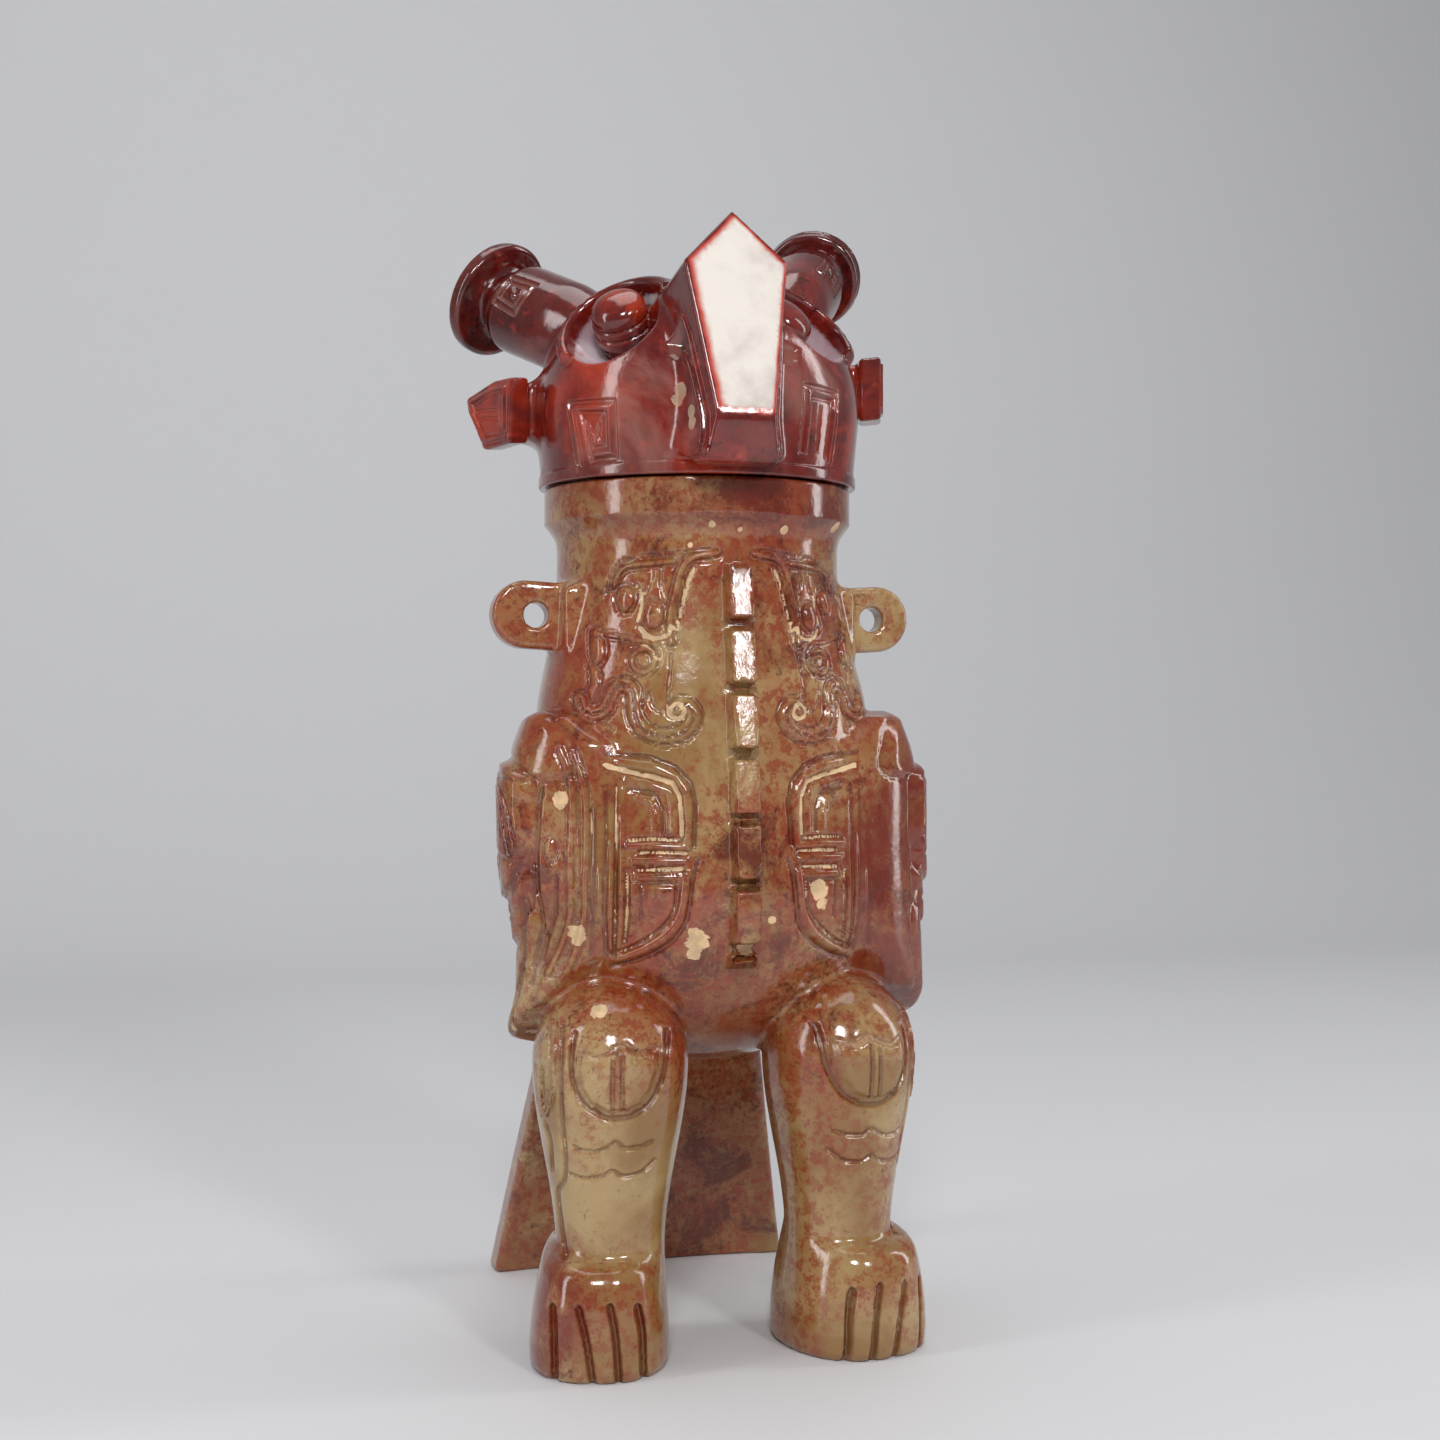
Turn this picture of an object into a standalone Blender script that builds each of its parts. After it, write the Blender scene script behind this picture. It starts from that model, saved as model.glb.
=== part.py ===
"""Owl-shaped jade bottle: a hollow standing bird whose whole head lifts off as the lid.

The bird faces -Y, its right side is -X, and it stands on two feet and a fan tail at z = 0.
Both pieces are carved from solid stone, so each is one closed body:
  vessel_body  the hollow body with its neck, wings, legs, feet, tail and pierced lugs
  head_lid     the head with beak, eyes, ears and horns, and the round plug under it
Lengths are in metres. Places are measured from the neck's axis, and the model is moved at the
end so that the middle of its side-to-side and front-to-back reach lies over the origin.
"""

import math

import bmesh
import bpy
from mathutils import Matrix, Vector

MM = 0.001

# Height of the seam between vessel and head
SEAM_HEIGHT = 161.0 * MM

# Neck, collar and mouth
COLLAR_RADIUS = 29.6 * MM
COLLAR_HEIGHT = 7.6 * MM
COLLAR_EDGE = 1.0 * MM
COLLAR_SIDES = 52
NECK_RADIUS = 27.3 * MM
NECK_FOOT_HEIGHT = 143.0 * MM
NECK_OVERLAP = 2.0 * MM
NECK_FILLET = 0.2 * MM
MOUTH_RADIUS = 20.0 * MM
MOUTH_DEPTH = 13.0 * MM
ABOVE_SEAM = 2.0 * MM

# Body, from the shoulder under the neck down to the belly
SHOULDER_HEIGHT = 124.0 * MM
SHOULDER_HALF_WIDTH = 31.0 * MM
SHOULDER_FRONT = 29.6 * MM
SHOULDER_BACK = 29.6 * MM
BELLY_HEIGHT = 86.0 * MM
BELLY_HALF_WIDTH = 35.4 * MM
BELLY_FRONT = 32.6 * MM
BELLY_BACK = 34.0 * MM
UNDERSIDE_HEIGHT = 51.0 * MM
BODY_FORWARD = 8.0 * MM
BODY_SIDES = 40
# Shares of the way at which the body's level sections lie, and how fast each stretch draws in
UNDERSIDE_SHARES = (0.16, 0.38, 0.62, 0.84, 0.97)
BREAST_SHARES = (0.33, 0.66, 1.0)
BREAST_EASE = 1.4
NECK_SHARES = (0.5, 1.0)
NECK_EASE = 0.8

# Hollow inside
WALL = 6.5 * MM
HOLLOW_FLOOR_HEIGHT = 64.0 * MM
HOLLOW_STRAIGHT = 8.0 * MM
# The hollow's rounded floor: share of the belly's radius, and of the height up to the belly
HOLLOW_FLOOR_SECTIONS = ((0.8, 0.25), (0.4, 0.0))
HOLLOW_SIDES = 32

# Ridge of blocks down the breast
RIDGE_TOP = 144.8 * MM
RIDGE_BLOCK_HEIGHT = 9.9 * MM
RIDGE_BLOCK_GAP = 1.8 * MM
RIDGE_BLOCK_WIDTH = 4.4 * MM
RIDGE_FULL_BLOCKS = 6
RIDGE_LAST_HEIGHT = 2.8 * MM
RIDGE_STAND = 3.6 * MM
RIDGE_ROOT_DEPTH = 7.2 * MM
RIDGE_FLARE = 1.3 * MM
RIDGE_EDGE = 0.4 * MM

# Pierced lugs beside the neck
LUG_HOLE_OFFSET = 33.2 * MM
LUG_OVERREACH = 1.0 * MM
LUG_FORWARD = 5.2 * MM
LUG_HEIGHT = 136.9 * MM
LUG_RADIUS = 6.3 * MM
LUG_HOLE_RADIUS = 2.35 * MM
LUG_THICKNESS = 5.6 * MM
LUG_ROOT_DEPTH = 4.0 * MM
LUG_EDGE = 0.8 * MM

# Wings: level sections as (height, half width right, half width left, reach behind the widest
# place), since the carver left the two sides a little unlike
WING_FORWARD = 13.0 * MM
WING_FRONT_REACH = 16.6 * MM
WING_SECTIONS = (
    (50.0 * MM, 39.4 * MM, 39.6 * MM, 26.0 * MM),
    (57.0 * MM, 39.3 * MM, 40.2 * MM, 27.0 * MM),
    (66.0 * MM, 36.9 * MM, 40.4 * MM, 28.0 * MM),
    (75.0 * MM, 36.6 * MM, 40.2 * MM, 31.0 * MM),
    (90.0 * MM, 38.5 * MM, 39.6 * MM, 36.0 * MM),
    (105.0 * MM, 38.8 * MM, 39.6 * MM, 37.0 * MM),
    (112.0 * MM, 37.2 * MM, 37.8 * MM, 37.0 * MM),
    (122.0 * MM, 33.5 * MM, 33.7 * MM, 37.0 * MM),
)
WING_INNER = 8.0 * MM
WING_OUTER = 60.0 * MM
# A wing's outline seen from its side, as (y, z)
WING_OUTLINE = (
    (-14.0 * MM, 118.5 * MM),
    (-22.6 * MM, 113.0 * MM),
    (-25.2 * MM, 104.0 * MM),
    (-25.2 * MM, 86.0 * MM),
    (-22.6 * MM, 74.0 * MM),
    (-12.0 * MM, 61.0 * MM),
    (3.0 * MM, 54.5 * MM),
    (11.0 * MM, 55.0 * MM),
    (24.5 * MM, 62.0 * MM),
    (29.0 * MM, 72.0 * MM),
    (28.0 * MM, 84.0 * MM),
    (17.0 * MM, 104.5 * MM),
    (-3.0 * MM, 117.5 * MM),
)
# Round lobes that stand on a wing: word, stand, (y, z) of the middle, radius
WING_LOBES = (
    ("shoulder", 0.8 * MM, (-14.0 * MM, 112.0 * MM), 6.8 * MM),
    ("curl", 2.1 * MM, (-6.5 * MM, 96.5 * MM), 12.3 * MM),
    ("under", 1.0 * MM, (-4.0 * MM, 83.0 * MM), 8.6 * MM),
)

# Legs and feet
LEG_OFFSET = 21.9 * MM
LEG_FORWARD = 20.0 * MM
THIGH_TOP = 69.5 * MM
THIGH_HEIGHT = 55.0 * MM
THIGH_HALF_WIDTH = 14.2 * MM
THIGH_HALF_DEPTH = 15.0 * MM
ANKLE_HEIGHT = 21.0 * MM
ANKLE_HALF_WIDTH = 10.0 * MM
ANKLE_HALF_DEPTH = 9.8 * MM
LEG_SIDES = 24
# A leg's level sections: share of the way from ankle to thigh, share of the swelling there
LEG_SHANK = ((0.0, 0.0), (0.35, 0.2), (0.7, 0.75), (1.0, 1.0))
# The thigh's rounded top: share of the way up, and size
THIGH_BALL = ((0.4, 0.92), (0.72, 0.7), (0.92, 0.4))
FOOT_OFFSET = 23.8 * MM
FOOT_FORWARD = 19.6 * MM
FOOT_HALF_WIDTH = 12.9 * MM
FOOT_HALF_LENGTH = 15.4 * MM
FOOT_SPLAY = math.radians(14.0)
# A foot's level sections as (height, size, shift towards the heel)
FOOT_SECTIONS = (
    (0.0 * MM, 0.93, 0.0 * MM),
    (2.0 * MM, 1.0, 0.0 * MM),
    (9.0 * MM, 0.99, 0.2 * MM),
    (16.0 * MM, 0.92, 0.8 * MM),
    (20.0 * MM, 0.78, 1.6 * MM),
)

# Fan tail
TAIL_REACH = 55.0 * MM
TAIL_THICKNESS = 8.3 * MM
TAIL_FOOT_HALF_WIDTH = 31.7 * MM
TAIL_ROOT_HEIGHT = 92.0 * MM
TAIL_ROOT_HALF_WIDTH = 16.0 * MM
TAIL_ROOT_REACH = 31.0 * MM
TAIL_EDGE_DROP = 1.5 * MM
TAIL_SHARES = (0.0, 0.45, 0.8, 1.0)

# Lid: dome and plug. Heights on the head are given as a rise above the seam
LID_GAP = 0.3 * MM
LID_EDGE = 0.6 * MM
LID_BAND_RADIUS = 30.8 * MM
LID_BAND_HEIGHT = 2.3 * MM
DOME_RADIUS = 31.4 * MM
DOME_SPRING_RISE = 13.0 * MM
CROWN_RISE = 40.2 * MM
DOME_FULLNESS = 0.86
DOME_STEPS = 7
PLUG_CLEARANCE = 0.4 * MM
PLUG_LENGTH = 8.0 * MM
PLUG_EDGE = 1.0 * MM
HEAD_SKEW = 0.1
HEAD_SHIFT = -1.8 * MM

# Beak
BEAK_REACH = 40.6 * MM
BEAK_APEX_RISE = 47.4 * MM
BEAK_CORNER_RISE = 37.8 * MM
BEAK_FACE_FOOT_RISE = 9.3 * MM
BEAK_LIP_DEPTH = 8.4 * MM
BEAK_LIP_BEND = 3.6 * MM
BEAK_CORNER_HALF_WIDTH = 9.5 * MM
BEAK_FOOT_HALF_WIDTH = 5.2 * MM
BEAK_LEAN = math.radians(13.5)
BEAK_LOW_SPREAD = 7.4 * MM
BEAK_HIGH_SPREAD = 3.6 * MM
BEAK_ROOT_DEPTH = 20.0 * MM
BEAK_ROOT_DROP = 4.0 * MM

# Eyes
EYE_SHIFT = -2.8 * MM
EYE_OFFSET = 15.7 * MM
EYE_FORWARD = 16.5 * MM
EYE_CAP_RISE = 31.8 * MM
EYE_RADIUS = 4.9 * MM
EYE_EDGE = 1.4 * MM
EYE_STUB_LENGTH = 14.0 * MM
EYE_RAISE = math.radians(42.0)
EYE_TURN = math.radians(36.0)
SOCKET_RADIUS = 12.5 * MM
SOCKET_AHEAD = 1.8 * MM
SOCKET_OUT = 3.2 * MM
# The brow, a raised rim round the socket: its way out of the head, depth and radii
BROW_WAY = Vector((0.53, -0.47, 0.70))
BROW_BEHIND = 5.2 * MM
BROW_THICKNESS = 2.6 * MM
BROW_TOP_RADIUS = 12.4 * MM
BROW_FOOT_RADIUS = 14.3 * MM

# Ears: a leaf-shaped plaque whose outline is (distance back along it, height from its middle)
EAR_TURN = math.radians(20.0)
EAR_OFFSET = 39.0 * MM
EAR_BACK = 6.4 * MM
EAR_RISE = 17.6 * MM
EAR_OUTLINE = (
    (8.4 * MM, 4.6 * MM),
    (7.6 * MM, 1.6 * MM),
    (1.8 * MM, -6.2 * MM),
    (-8.3 * MM, -6.4 * MM),
    (-8.5 * MM, 6.1 * MM),
    (-2.0 * MM, 6.3 * MM),
)
EAR_THICKNESS = 4.4 * MM
EAR_FACE = 1.3 * MM
EAR_STEM_FORWARD = 2.8 * MM
EAR_STEM_TALL = 10.6 * MM
EAR_STEM_DEPTH = 9.0 * MM
EAR_STEM_REACH = 14.0 * MM
EAR_STEM_EDGE = 1.5 * MM

# Horns: places as (aside, back, rise above the seam)
HORN_ROOT = Vector((18.5 * MM, 3.5 * MM, 31.5 * MM))
HORN_TIP = Vector((34.6 * MM, 28.5 * MM, 45.2 * MM))
HORN_BULB_RADIUS = 8.6 * MM
HORN_ROOT_RADIUS = 7.0 * MM
HORN_NECK_RADIUS = 5.7 * MM
# Shares of a horn's length at which its bulb begins and ends and its neck begins
HORN_BULB_FOOT = 0.25
HORN_BULB_TOP = 0.58
HORN_NECK_FOOT = 0.76
HORN_DISC_RADIUS = 10.9 * MM
HORN_DISC_THICKNESS = 3.2 * MM
HORN_DISC_EDGE = 1.0 * MM
HORN_SIDES = 24

# Distances that the model is moved, to centre its side-to-side and front-to-back reach
SIDE_CENTRING = 1.5 * MM
CENTRING = (BEAK_REACH - TAIL_REACH) / 2

SIDES = ((-1, "right"), (1, "left"))


def clear_scene():
    """Remove every object that the opened file holds."""
    for item in list(bpy.data.objects):
        bpy.data.objects.remove(item, do_unlink=True)


def new_collection(name):
    """A collection linked to the scene."""
    collection = bpy.data.collections.new(name)
    bpy.context.scene.collection.children.link(collection)
    return collection


def stone(name, colour, roughness):
    """Plain polished stone of one colour."""
    material = bpy.data.materials.new(name)
    material.use_nodes = True
    shader = material.node_tree.nodes["Principled BSDF"]
    shader.inputs["Base Color"].default_value = (*colour, 1.0)
    shader.inputs["Roughness"].default_value = roughness
    shader.inputs["Metallic"].default_value = 0.0
    return material


def from_bmesh(name, shape):
    """Turn a bmesh into an object in the tools' collection."""
    mesh = bpy.data.meshes.new(name)
    bmesh.ops.recalc_face_normals(shape, faces=shape.faces)
    shape.to_mesh(mesh)
    shape.free()
    item = bpy.data.objects.new(name, mesh)
    bpy.data.collections["tools"].objects.link(item)
    item.hide_render = True
    item.display_type = "WIRE"
    return item


def egg_ring(half_width, front, back, height, count=BODY_SIDES, centre=(0.0, 0.0)):
    """A level ring that is half as wide as half_width and reaches front (-Y) and back (+Y)."""
    points = []
    for step in range(count):
        angle = 2 * math.pi * step / count
        reach = front if math.cos(angle) > 0 else back
        points.append(Vector((
            centre[0] + half_width * math.sin(angle),
            centre[1] - reach * math.cos(angle),
            height,
        )))
    return points


def body_ring(half_width, front, back, height, forward):
    """A ring of the body that is widest at a place forward of the neck's axis."""
    return egg_ring(half_width, front - forward, back + forward, height, centre=(0.0, -forward))


def loft(name, rings):
    """A closed solid through rings with equal numbers of points."""
    shape = bmesh.new()
    rows = [[shape.verts.new(point) for point in ring] for ring in rings]
    count = len(rows[0])
    for lower, upper in zip(rows, rows[1:]):
        for step in range(count):
            following = (step + 1) % count
            shape.faces.new((lower[step], lower[following], upper[following], upper[step]))
    shape.faces.new(rows[0])
    shape.faces.new(rows[-1])
    return from_bmesh(name, shape)


def turned(name, profile, steps=BODY_SIDES):
    """A solid turned about Z from (radius, height) points that run from top to bottom."""
    shape = bmesh.new()
    corners = [shape.verts.new((radius, 0.0, height)) for radius, height in profile]
    for first, second in zip(corners, corners[1:]):
        shape.edges.new((first, second))
    mesh = bpy.data.meshes.new(name)
    shape.to_mesh(mesh)
    shape.free()
    item = bpy.data.objects.new(name, mesh)
    bpy.data.collections["tools"].objects.link(item)
    item.hide_render = True
    item.display_type = "WIRE"
    screw = item.modifiers.new("turn", "SCREW")
    screw.steps = steps
    screw.render_steps = steps
    screw.use_merge_vertices = True
    screw.merge_threshold = 0.00001
    screw.use_smooth_shade = True
    return item


def block(name, size, place, turn=None, bevel=0.0):
    """A box of the given size, with its edges rounded by bevel."""
    shape = bmesh.new()
    bmesh.ops.create_cube(shape, size=1.0, matrix=Matrix.Diagonal((*size, 1.0)))
    item = from_bmesh(name, shape)
    item.matrix_world = Matrix.Translation(place) @ (turn or Matrix.Identity(4))
    if bevel:
        rounding = item.modifiers.new("rounding", "BEVEL")
        rounding.width = bevel
        rounding.segments = 2
    return item


def rod(name, radius, length, place, direction, sides=20, bevel=0.0):
    """A cylinder whose middle is at place and whose axis follows direction."""
    shape = bmesh.new()
    bmesh.ops.create_cone(
        shape, cap_ends=True, segments=sides, radius1=radius, radius2=radius, depth=length)
    item = from_bmesh(name, shape)
    turn = Vector(direction).to_track_quat("Z", "Y").to_matrix().to_4x4()
    item.matrix_world = Matrix.Translation(place) @ turn
    if bevel:
        rounding = item.modifiers.new("rounding", "BEVEL")
        rounding.width = bevel
        rounding.segments = 2
        rounding.limit_method = "ANGLE"
    return item


def combine(target, tool, operation):
    """Join a tool to the target, cut it away, or keep what they share."""
    step = target.modifiers.new(tool.name, "BOOLEAN")
    step.solver = "EXACT"
    step.operation = operation
    step.object = tool


def tidy_joins(target):
    """Merge corners that a union left almost on top of each other."""
    weld = target.modifiers.new("tidy_joins", "WELD")
    weld.merge_threshold = 0.000003


def blend(first, second, share):
    """The value that lies share of the way from first to second."""
    return first + (second - first) * share


def body_rings():
    """Rings of the body from its rounded underside up to the neck."""
    half_turn = math.pi / 2
    neck = NECK_RADIUS + NECK_FILLET
    rings = []
    for share in UNDERSIDE_SHARES:
        swell = math.sin(share * half_turn)
        rise = 1 - math.cos(share * half_turn)
        rings.append(body_ring(
            BELLY_HALF_WIDTH * swell,
            BELLY_FRONT * swell,
            BELLY_BACK * swell,
            blend(UNDERSIDE_HEIGHT, BELLY_HEIGHT, rise),
            BODY_FORWARD * swell,
        ))
    for share in BREAST_SHARES:
        ease = share ** BREAST_EASE
        rings.append(body_ring(
            blend(BELLY_HALF_WIDTH, SHOULDER_HALF_WIDTH, ease),
            blend(BELLY_FRONT, SHOULDER_FRONT, ease),
            blend(BELLY_BACK, SHOULDER_BACK, ease),
            blend(BELLY_HEIGHT, SHOULDER_HEIGHT, share),
            blend(BODY_FORWARD, BODY_FORWARD / 2, ease),
        ))
    for share in NECK_SHARES:
        ease = share ** NECK_EASE
        rings.append(body_ring(
            blend(SHOULDER_HALF_WIDTH, neck, ease),
            blend(SHOULDER_FRONT, neck, ease),
            blend(SHOULDER_BACK, neck, ease),
            blend(SHOULDER_HEIGHT, NECK_FOOT_HEIGHT, share),
            blend(BODY_FORWARD / 2, 0.0, ease),
        ))
    top = NECK_RADIUS - NECK_OVERLAP
    rings.append(egg_ring(top, top, top, NECK_FOOT_HEIGHT + NECK_OVERLAP))
    return rings


def front_reach(height):
    """How far the breast stands in front of the neck's axis at a height."""
    if height > SHOULDER_HEIGHT:
        share = (height - SHOULDER_HEIGHT) / (NECK_FOOT_HEIGHT - SHOULDER_HEIGHT)
        return blend(SHOULDER_FRONT, NECK_RADIUS, min(share, 1.0) ** NECK_EASE)
    if height > BELLY_HEIGHT:
        share = (height - BELLY_HEIGHT) / (SHOULDER_HEIGHT - BELLY_HEIGHT)
        return blend(BELLY_FRONT, SHOULDER_FRONT, share ** BREAST_EASE)
    drop = (BELLY_HEIGHT - height) / (BELLY_HEIGHT - UNDERSIDE_HEIGHT)
    return BELLY_FRONT * math.sqrt(max(1 - drop ** 2, 0.0))


def make_collar():
    """The neck and the thick collar at its top, with eased edges."""
    foot = SEAM_HEIGHT - COLLAR_HEIGHT
    return turned("collar", (
        (0.0, SEAM_HEIGHT),
        (COLLAR_RADIUS - COLLAR_EDGE, SEAM_HEIGHT),
        (COLLAR_RADIUS, SEAM_HEIGHT - COLLAR_EDGE),
        (COLLAR_RADIUS, foot + COLLAR_EDGE),
        (COLLAR_RADIUS - COLLAR_EDGE, foot),
        (NECK_RADIUS, foot - COLLAR_EDGE),
        (NECK_RADIUS, NECK_FOOT_HEIGHT),
        (NECK_RADIUS - NECK_OVERLAP, NECK_FOOT_HEIGHT - 3 * NECK_OVERLAP),
        (0.0, NECK_FOOT_HEIGHT - 3 * NECK_OVERLAP),
    ), steps=COLLAR_SIDES)


def make_hollow():
    """The space inside: a round mouth, then a swelling that follows the body one wall in."""
    above = SEAM_HEIGHT + ABOVE_SEAM
    mouth_foot = SEAM_HEIGHT - MOUTH_DEPTH
    belly = min(BELLY_HALF_WIDTH, BELLY_FRONT, BELLY_BACK) - WALL
    shoulder = min(SHOULDER_HALF_WIDTH, SHOULDER_FRONT, SHOULDER_BACK) - WALL
    profile = [
        (0.0, above),
        (MOUTH_RADIUS, above),
        (MOUTH_RADIUS, mouth_foot),
        (shoulder, SHOULDER_HEIGHT),
        (belly, BELLY_HEIGHT + HOLLOW_STRAIGHT),
        (belly, BELLY_HEIGHT),
    ]
    for size, share in HOLLOW_FLOOR_SECTIONS:
        profile.append((belly * size, blend(HOLLOW_FLOOR_HEIGHT, BELLY_HEIGHT, share)))
    profile.append((0.0, HOLLOW_FLOOR_HEIGHT))
    return turned("hollow", profile, steps=HOLLOW_SIDES)


def wing_rings(side, stand=0.0):
    """Rings for a side's wing, widest forward of the neck's axis, grown outward by stand."""
    return [
        egg_ring((right if side < 0 else left) + stand, WING_FRONT_REACH + stand, back + stand,
                 height, centre=(0.0, -WING_FORWARD))
        for height, right, left, back in WING_SECTIONS
    ]


def make_wing(side, word):
    """A raised wing: its rounded bulk, cut to the wing's outline as seen from the side."""
    rings = [
        [Vector((side * x, y, z)) for y, z in WING_OUTLINE]
        for x in (WING_INNER, WING_OUTER)
    ]
    prism = loft(f"{word}_wing_outline", rings)
    wing = loft(f"{word}_wing", wing_rings(side))
    combine(wing, prism, "INTERSECT")
    return wing


def make_lobes(side, word):
    """The rounded lobes that stand on a wing, with its curl the thickest."""
    lobes = []
    middle = side * (WING_INNER + WING_OUTER) / 2
    for name, stand, (y, z), radius in WING_LOBES:
        lobe = loft(f"{word}_wing_{name}", wing_rings(side, stand))
        cutter = rod(f"{word}_{name}_outline", radius, WING_OUTER - WING_INNER,
                     Vector((middle, y, z)), (1, 0, 0), sides=LEG_SIDES)
        combine(lobe, cutter, "INTERSECT")
        lobes.append(lobe)
    return lobes


def make_leg(side, word):
    """A leg that swells from the ankle to a round thigh."""
    centre = (side * LEG_OFFSET, -LEG_FORWARD)
    sections = [(ANKLE_HEIGHT / 2, 1.0, 0.0)]
    for share, swell in LEG_SHANK:
        sections.append((blend(ANKLE_HEIGHT, THIGH_HEIGHT, share), 1.0, swell))
    for share, size in THIGH_BALL:
        sections.append((blend(THIGH_HEIGHT, THIGH_TOP, share), size, 1.0))
    rings = []
    for height, size, swell in sections:
        width = blend(ANKLE_HALF_WIDTH, THIGH_HALF_WIDTH, swell) * size
        depth = blend(ANKLE_HALF_DEPTH, THIGH_HALF_DEPTH, swell) * size
        rings.append(egg_ring(width, depth, depth, height, count=LEG_SIDES, centre=centre))
    return loft(f"{word}_leg", rings)


def make_foot(side, word):
    """A broad foot, flat underneath, that points a little outward."""
    turn = Matrix.Rotation(side * FOOT_SPLAY, 4, "Z")
    place = Matrix.Translation((side * FOOT_OFFSET, -FOOT_FORWARD, 0.0))
    rings = []
    for height, size, shift in FOOT_SECTIONS:
        ring = egg_ring(
            FOOT_HALF_WIDTH * size, FOOT_HALF_LENGTH * size, FOOT_HALF_LENGTH * size, height,
            count=LEG_SIDES, centre=(0.0, shift))
        rings.append([place @ turn @ point for point in ring])
    return loft(f"{word}_foot", rings)


def make_tail():
    """The fan tail: a plate that leans back and widens down to the floor."""
    rings = []
    for share in TAIL_SHARES:
        height = TAIL_ROOT_HEIGHT * share
        half = blend(TAIL_FOOT_HALF_WIDTH, TAIL_ROOT_HALF_WIDTH, share)
        back = blend(TAIL_REACH, TAIL_ROOT_REACH, share ** 1.15)
        front = back - TAIL_THICKNESS
        rings.append([
            Vector((-half, front, height)),
            Vector((half, front, height)),
            Vector((half, back - TAIL_EDGE_DROP, height)),
            Vector((half * 0.5, back, height)),
            Vector((-half * 0.5, back, height)),
            Vector((-half, back - TAIL_EDGE_DROP, height)),
        ])
    return loft("tail", rings)


def make_lug(side, word):
    """A flat lug with a round end beside the neck, and the hole through it."""
    centre = Vector((side * LUG_HOLE_OFFSET, -LUG_FORWARD, LUG_HEIGHT))
    tip = centre + Vector((side * LUG_OVERREACH, 0.0, 0.0))
    end = rod(f"{word}_lug", LUG_RADIUS, LUG_THICKNESS, tip, (0, 1, 0), sides=28, bevel=LUG_EDGE)
    width = LUG_HOLE_OFFSET + LUG_OVERREACH - NECK_RADIUS + LUG_ROOT_DEPTH
    root_place = tip - Vector((side * width / 2, 0.0, 0.0))
    root = block(f"{word}_lug_root", (width, LUG_THICKNESS, 2 * LUG_RADIUS), root_place,
                 bevel=LUG_EDGE)
    hole = rod(f"{word}_lug_hole", LUG_HOLE_RADIUS, 3 * LUG_THICKNESS, centre, (0, 1, 0), sides=16)
    return end, root, hole


def make_ridge():
    """The row of blocks down the middle of the breast, each leaning with the surface."""
    blocks = []
    top = RIDGE_TOP
    for number in range(RIDGE_FULL_BLOCKS + 1):
        tall = RIDGE_BLOCK_HEIGHT if number < RIDGE_FULL_BLOCKS else RIDGE_LAST_HEIGHT
        foot = top - tall
        face_top = front_reach(top) + RIDGE_STAND
        face_foot = front_reach(foot) + RIDGE_STAND
        half = RIDGE_BLOCK_WIDTH / 2
        wide = half + RIDGE_FLARE
        rings = []
        for height, face in ((foot, face_foot), (top, face_top)):
            rings.append([
                Vector((-wide, -face + RIDGE_ROOT_DEPTH, height)),
                Vector((-wide, -face + RIDGE_STAND, height)),
                Vector((-half, -face, height)),
                Vector((half, -face, height)),
                Vector((wide, -face + RIDGE_STAND, height)),
                Vector((wide, -face + RIDGE_ROOT_DEPTH, height)),
            ])
        piece = loft(f"ridge_block_{number + 1}", rings)
        rounding = piece.modifiers.new("rounding", "BEVEL")
        rounding.width = RIDGE_EDGE
        rounding.segments = 1
        blocks.append(piece)
        top = foot - RIDGE_BLOCK_GAP
    return blocks


def make_vessel():
    """The hollow body and everything carved on it."""
    vessel = loft("vessel_body", body_rings())
    combine(vessel, make_collar(), "UNION")
    combine(vessel, make_tail(), "UNION")
    for side, word in SIDES:
        combine(vessel, make_leg(side, word), "UNION")
        combine(vessel, make_foot(side, word), "UNION")
        combine(vessel, make_wing(side, word), "UNION")
        for lobe in make_lobes(side, word):
            combine(vessel, lobe, "UNION")
        end, root, hole = make_lug(side, word)
        combine(vessel, end, "UNION")
        combine(vessel, root, "UNION")
        combine(vessel, hole, "DIFFERENCE")
    for piece in make_ridge():
        combine(vessel, piece, "UNION")
    combine(vessel, make_hollow(), "DIFFERENCE")
    tidy_joins(vessel)
    return vessel


def make_dome():
    """The head's dome with the band at its rim and the plug that fits the mouth."""
    rim = SEAM_HEIGHT + LID_GAP
    plug = MOUTH_RADIUS - PLUG_CLEARANCE
    profile = []
    for step in range(DOME_STEPS + 1):
        angle = math.pi / 2 * step / DOME_STEPS
        rise = blend(DOME_SPRING_RISE, CROWN_RISE, math.cos(angle) ** DOME_FULLNESS)
        profile.append((DOME_RADIUS * math.sin(angle) ** DOME_FULLNESS, SEAM_HEIGHT + rise))
    profile += [
        (LID_BAND_RADIUS - LID_EDGE, rim + LID_BAND_HEIGHT + LID_EDGE),
        (LID_BAND_RADIUS, rim + LID_BAND_HEIGHT),
        (LID_BAND_RADIUS, rim + LID_EDGE),
        (LID_BAND_RADIUS - LID_EDGE, rim),
        (plug, rim),
        (plug, SEAM_HEIGHT - PLUG_LENGTH + PLUG_EDGE),
        (plug - PLUG_EDGE, SEAM_HEIGHT - PLUG_LENGTH),
        (0.0, SEAM_HEIGHT - PLUG_LENGTH),
    ]
    return turned("head_lid", profile)


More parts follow.
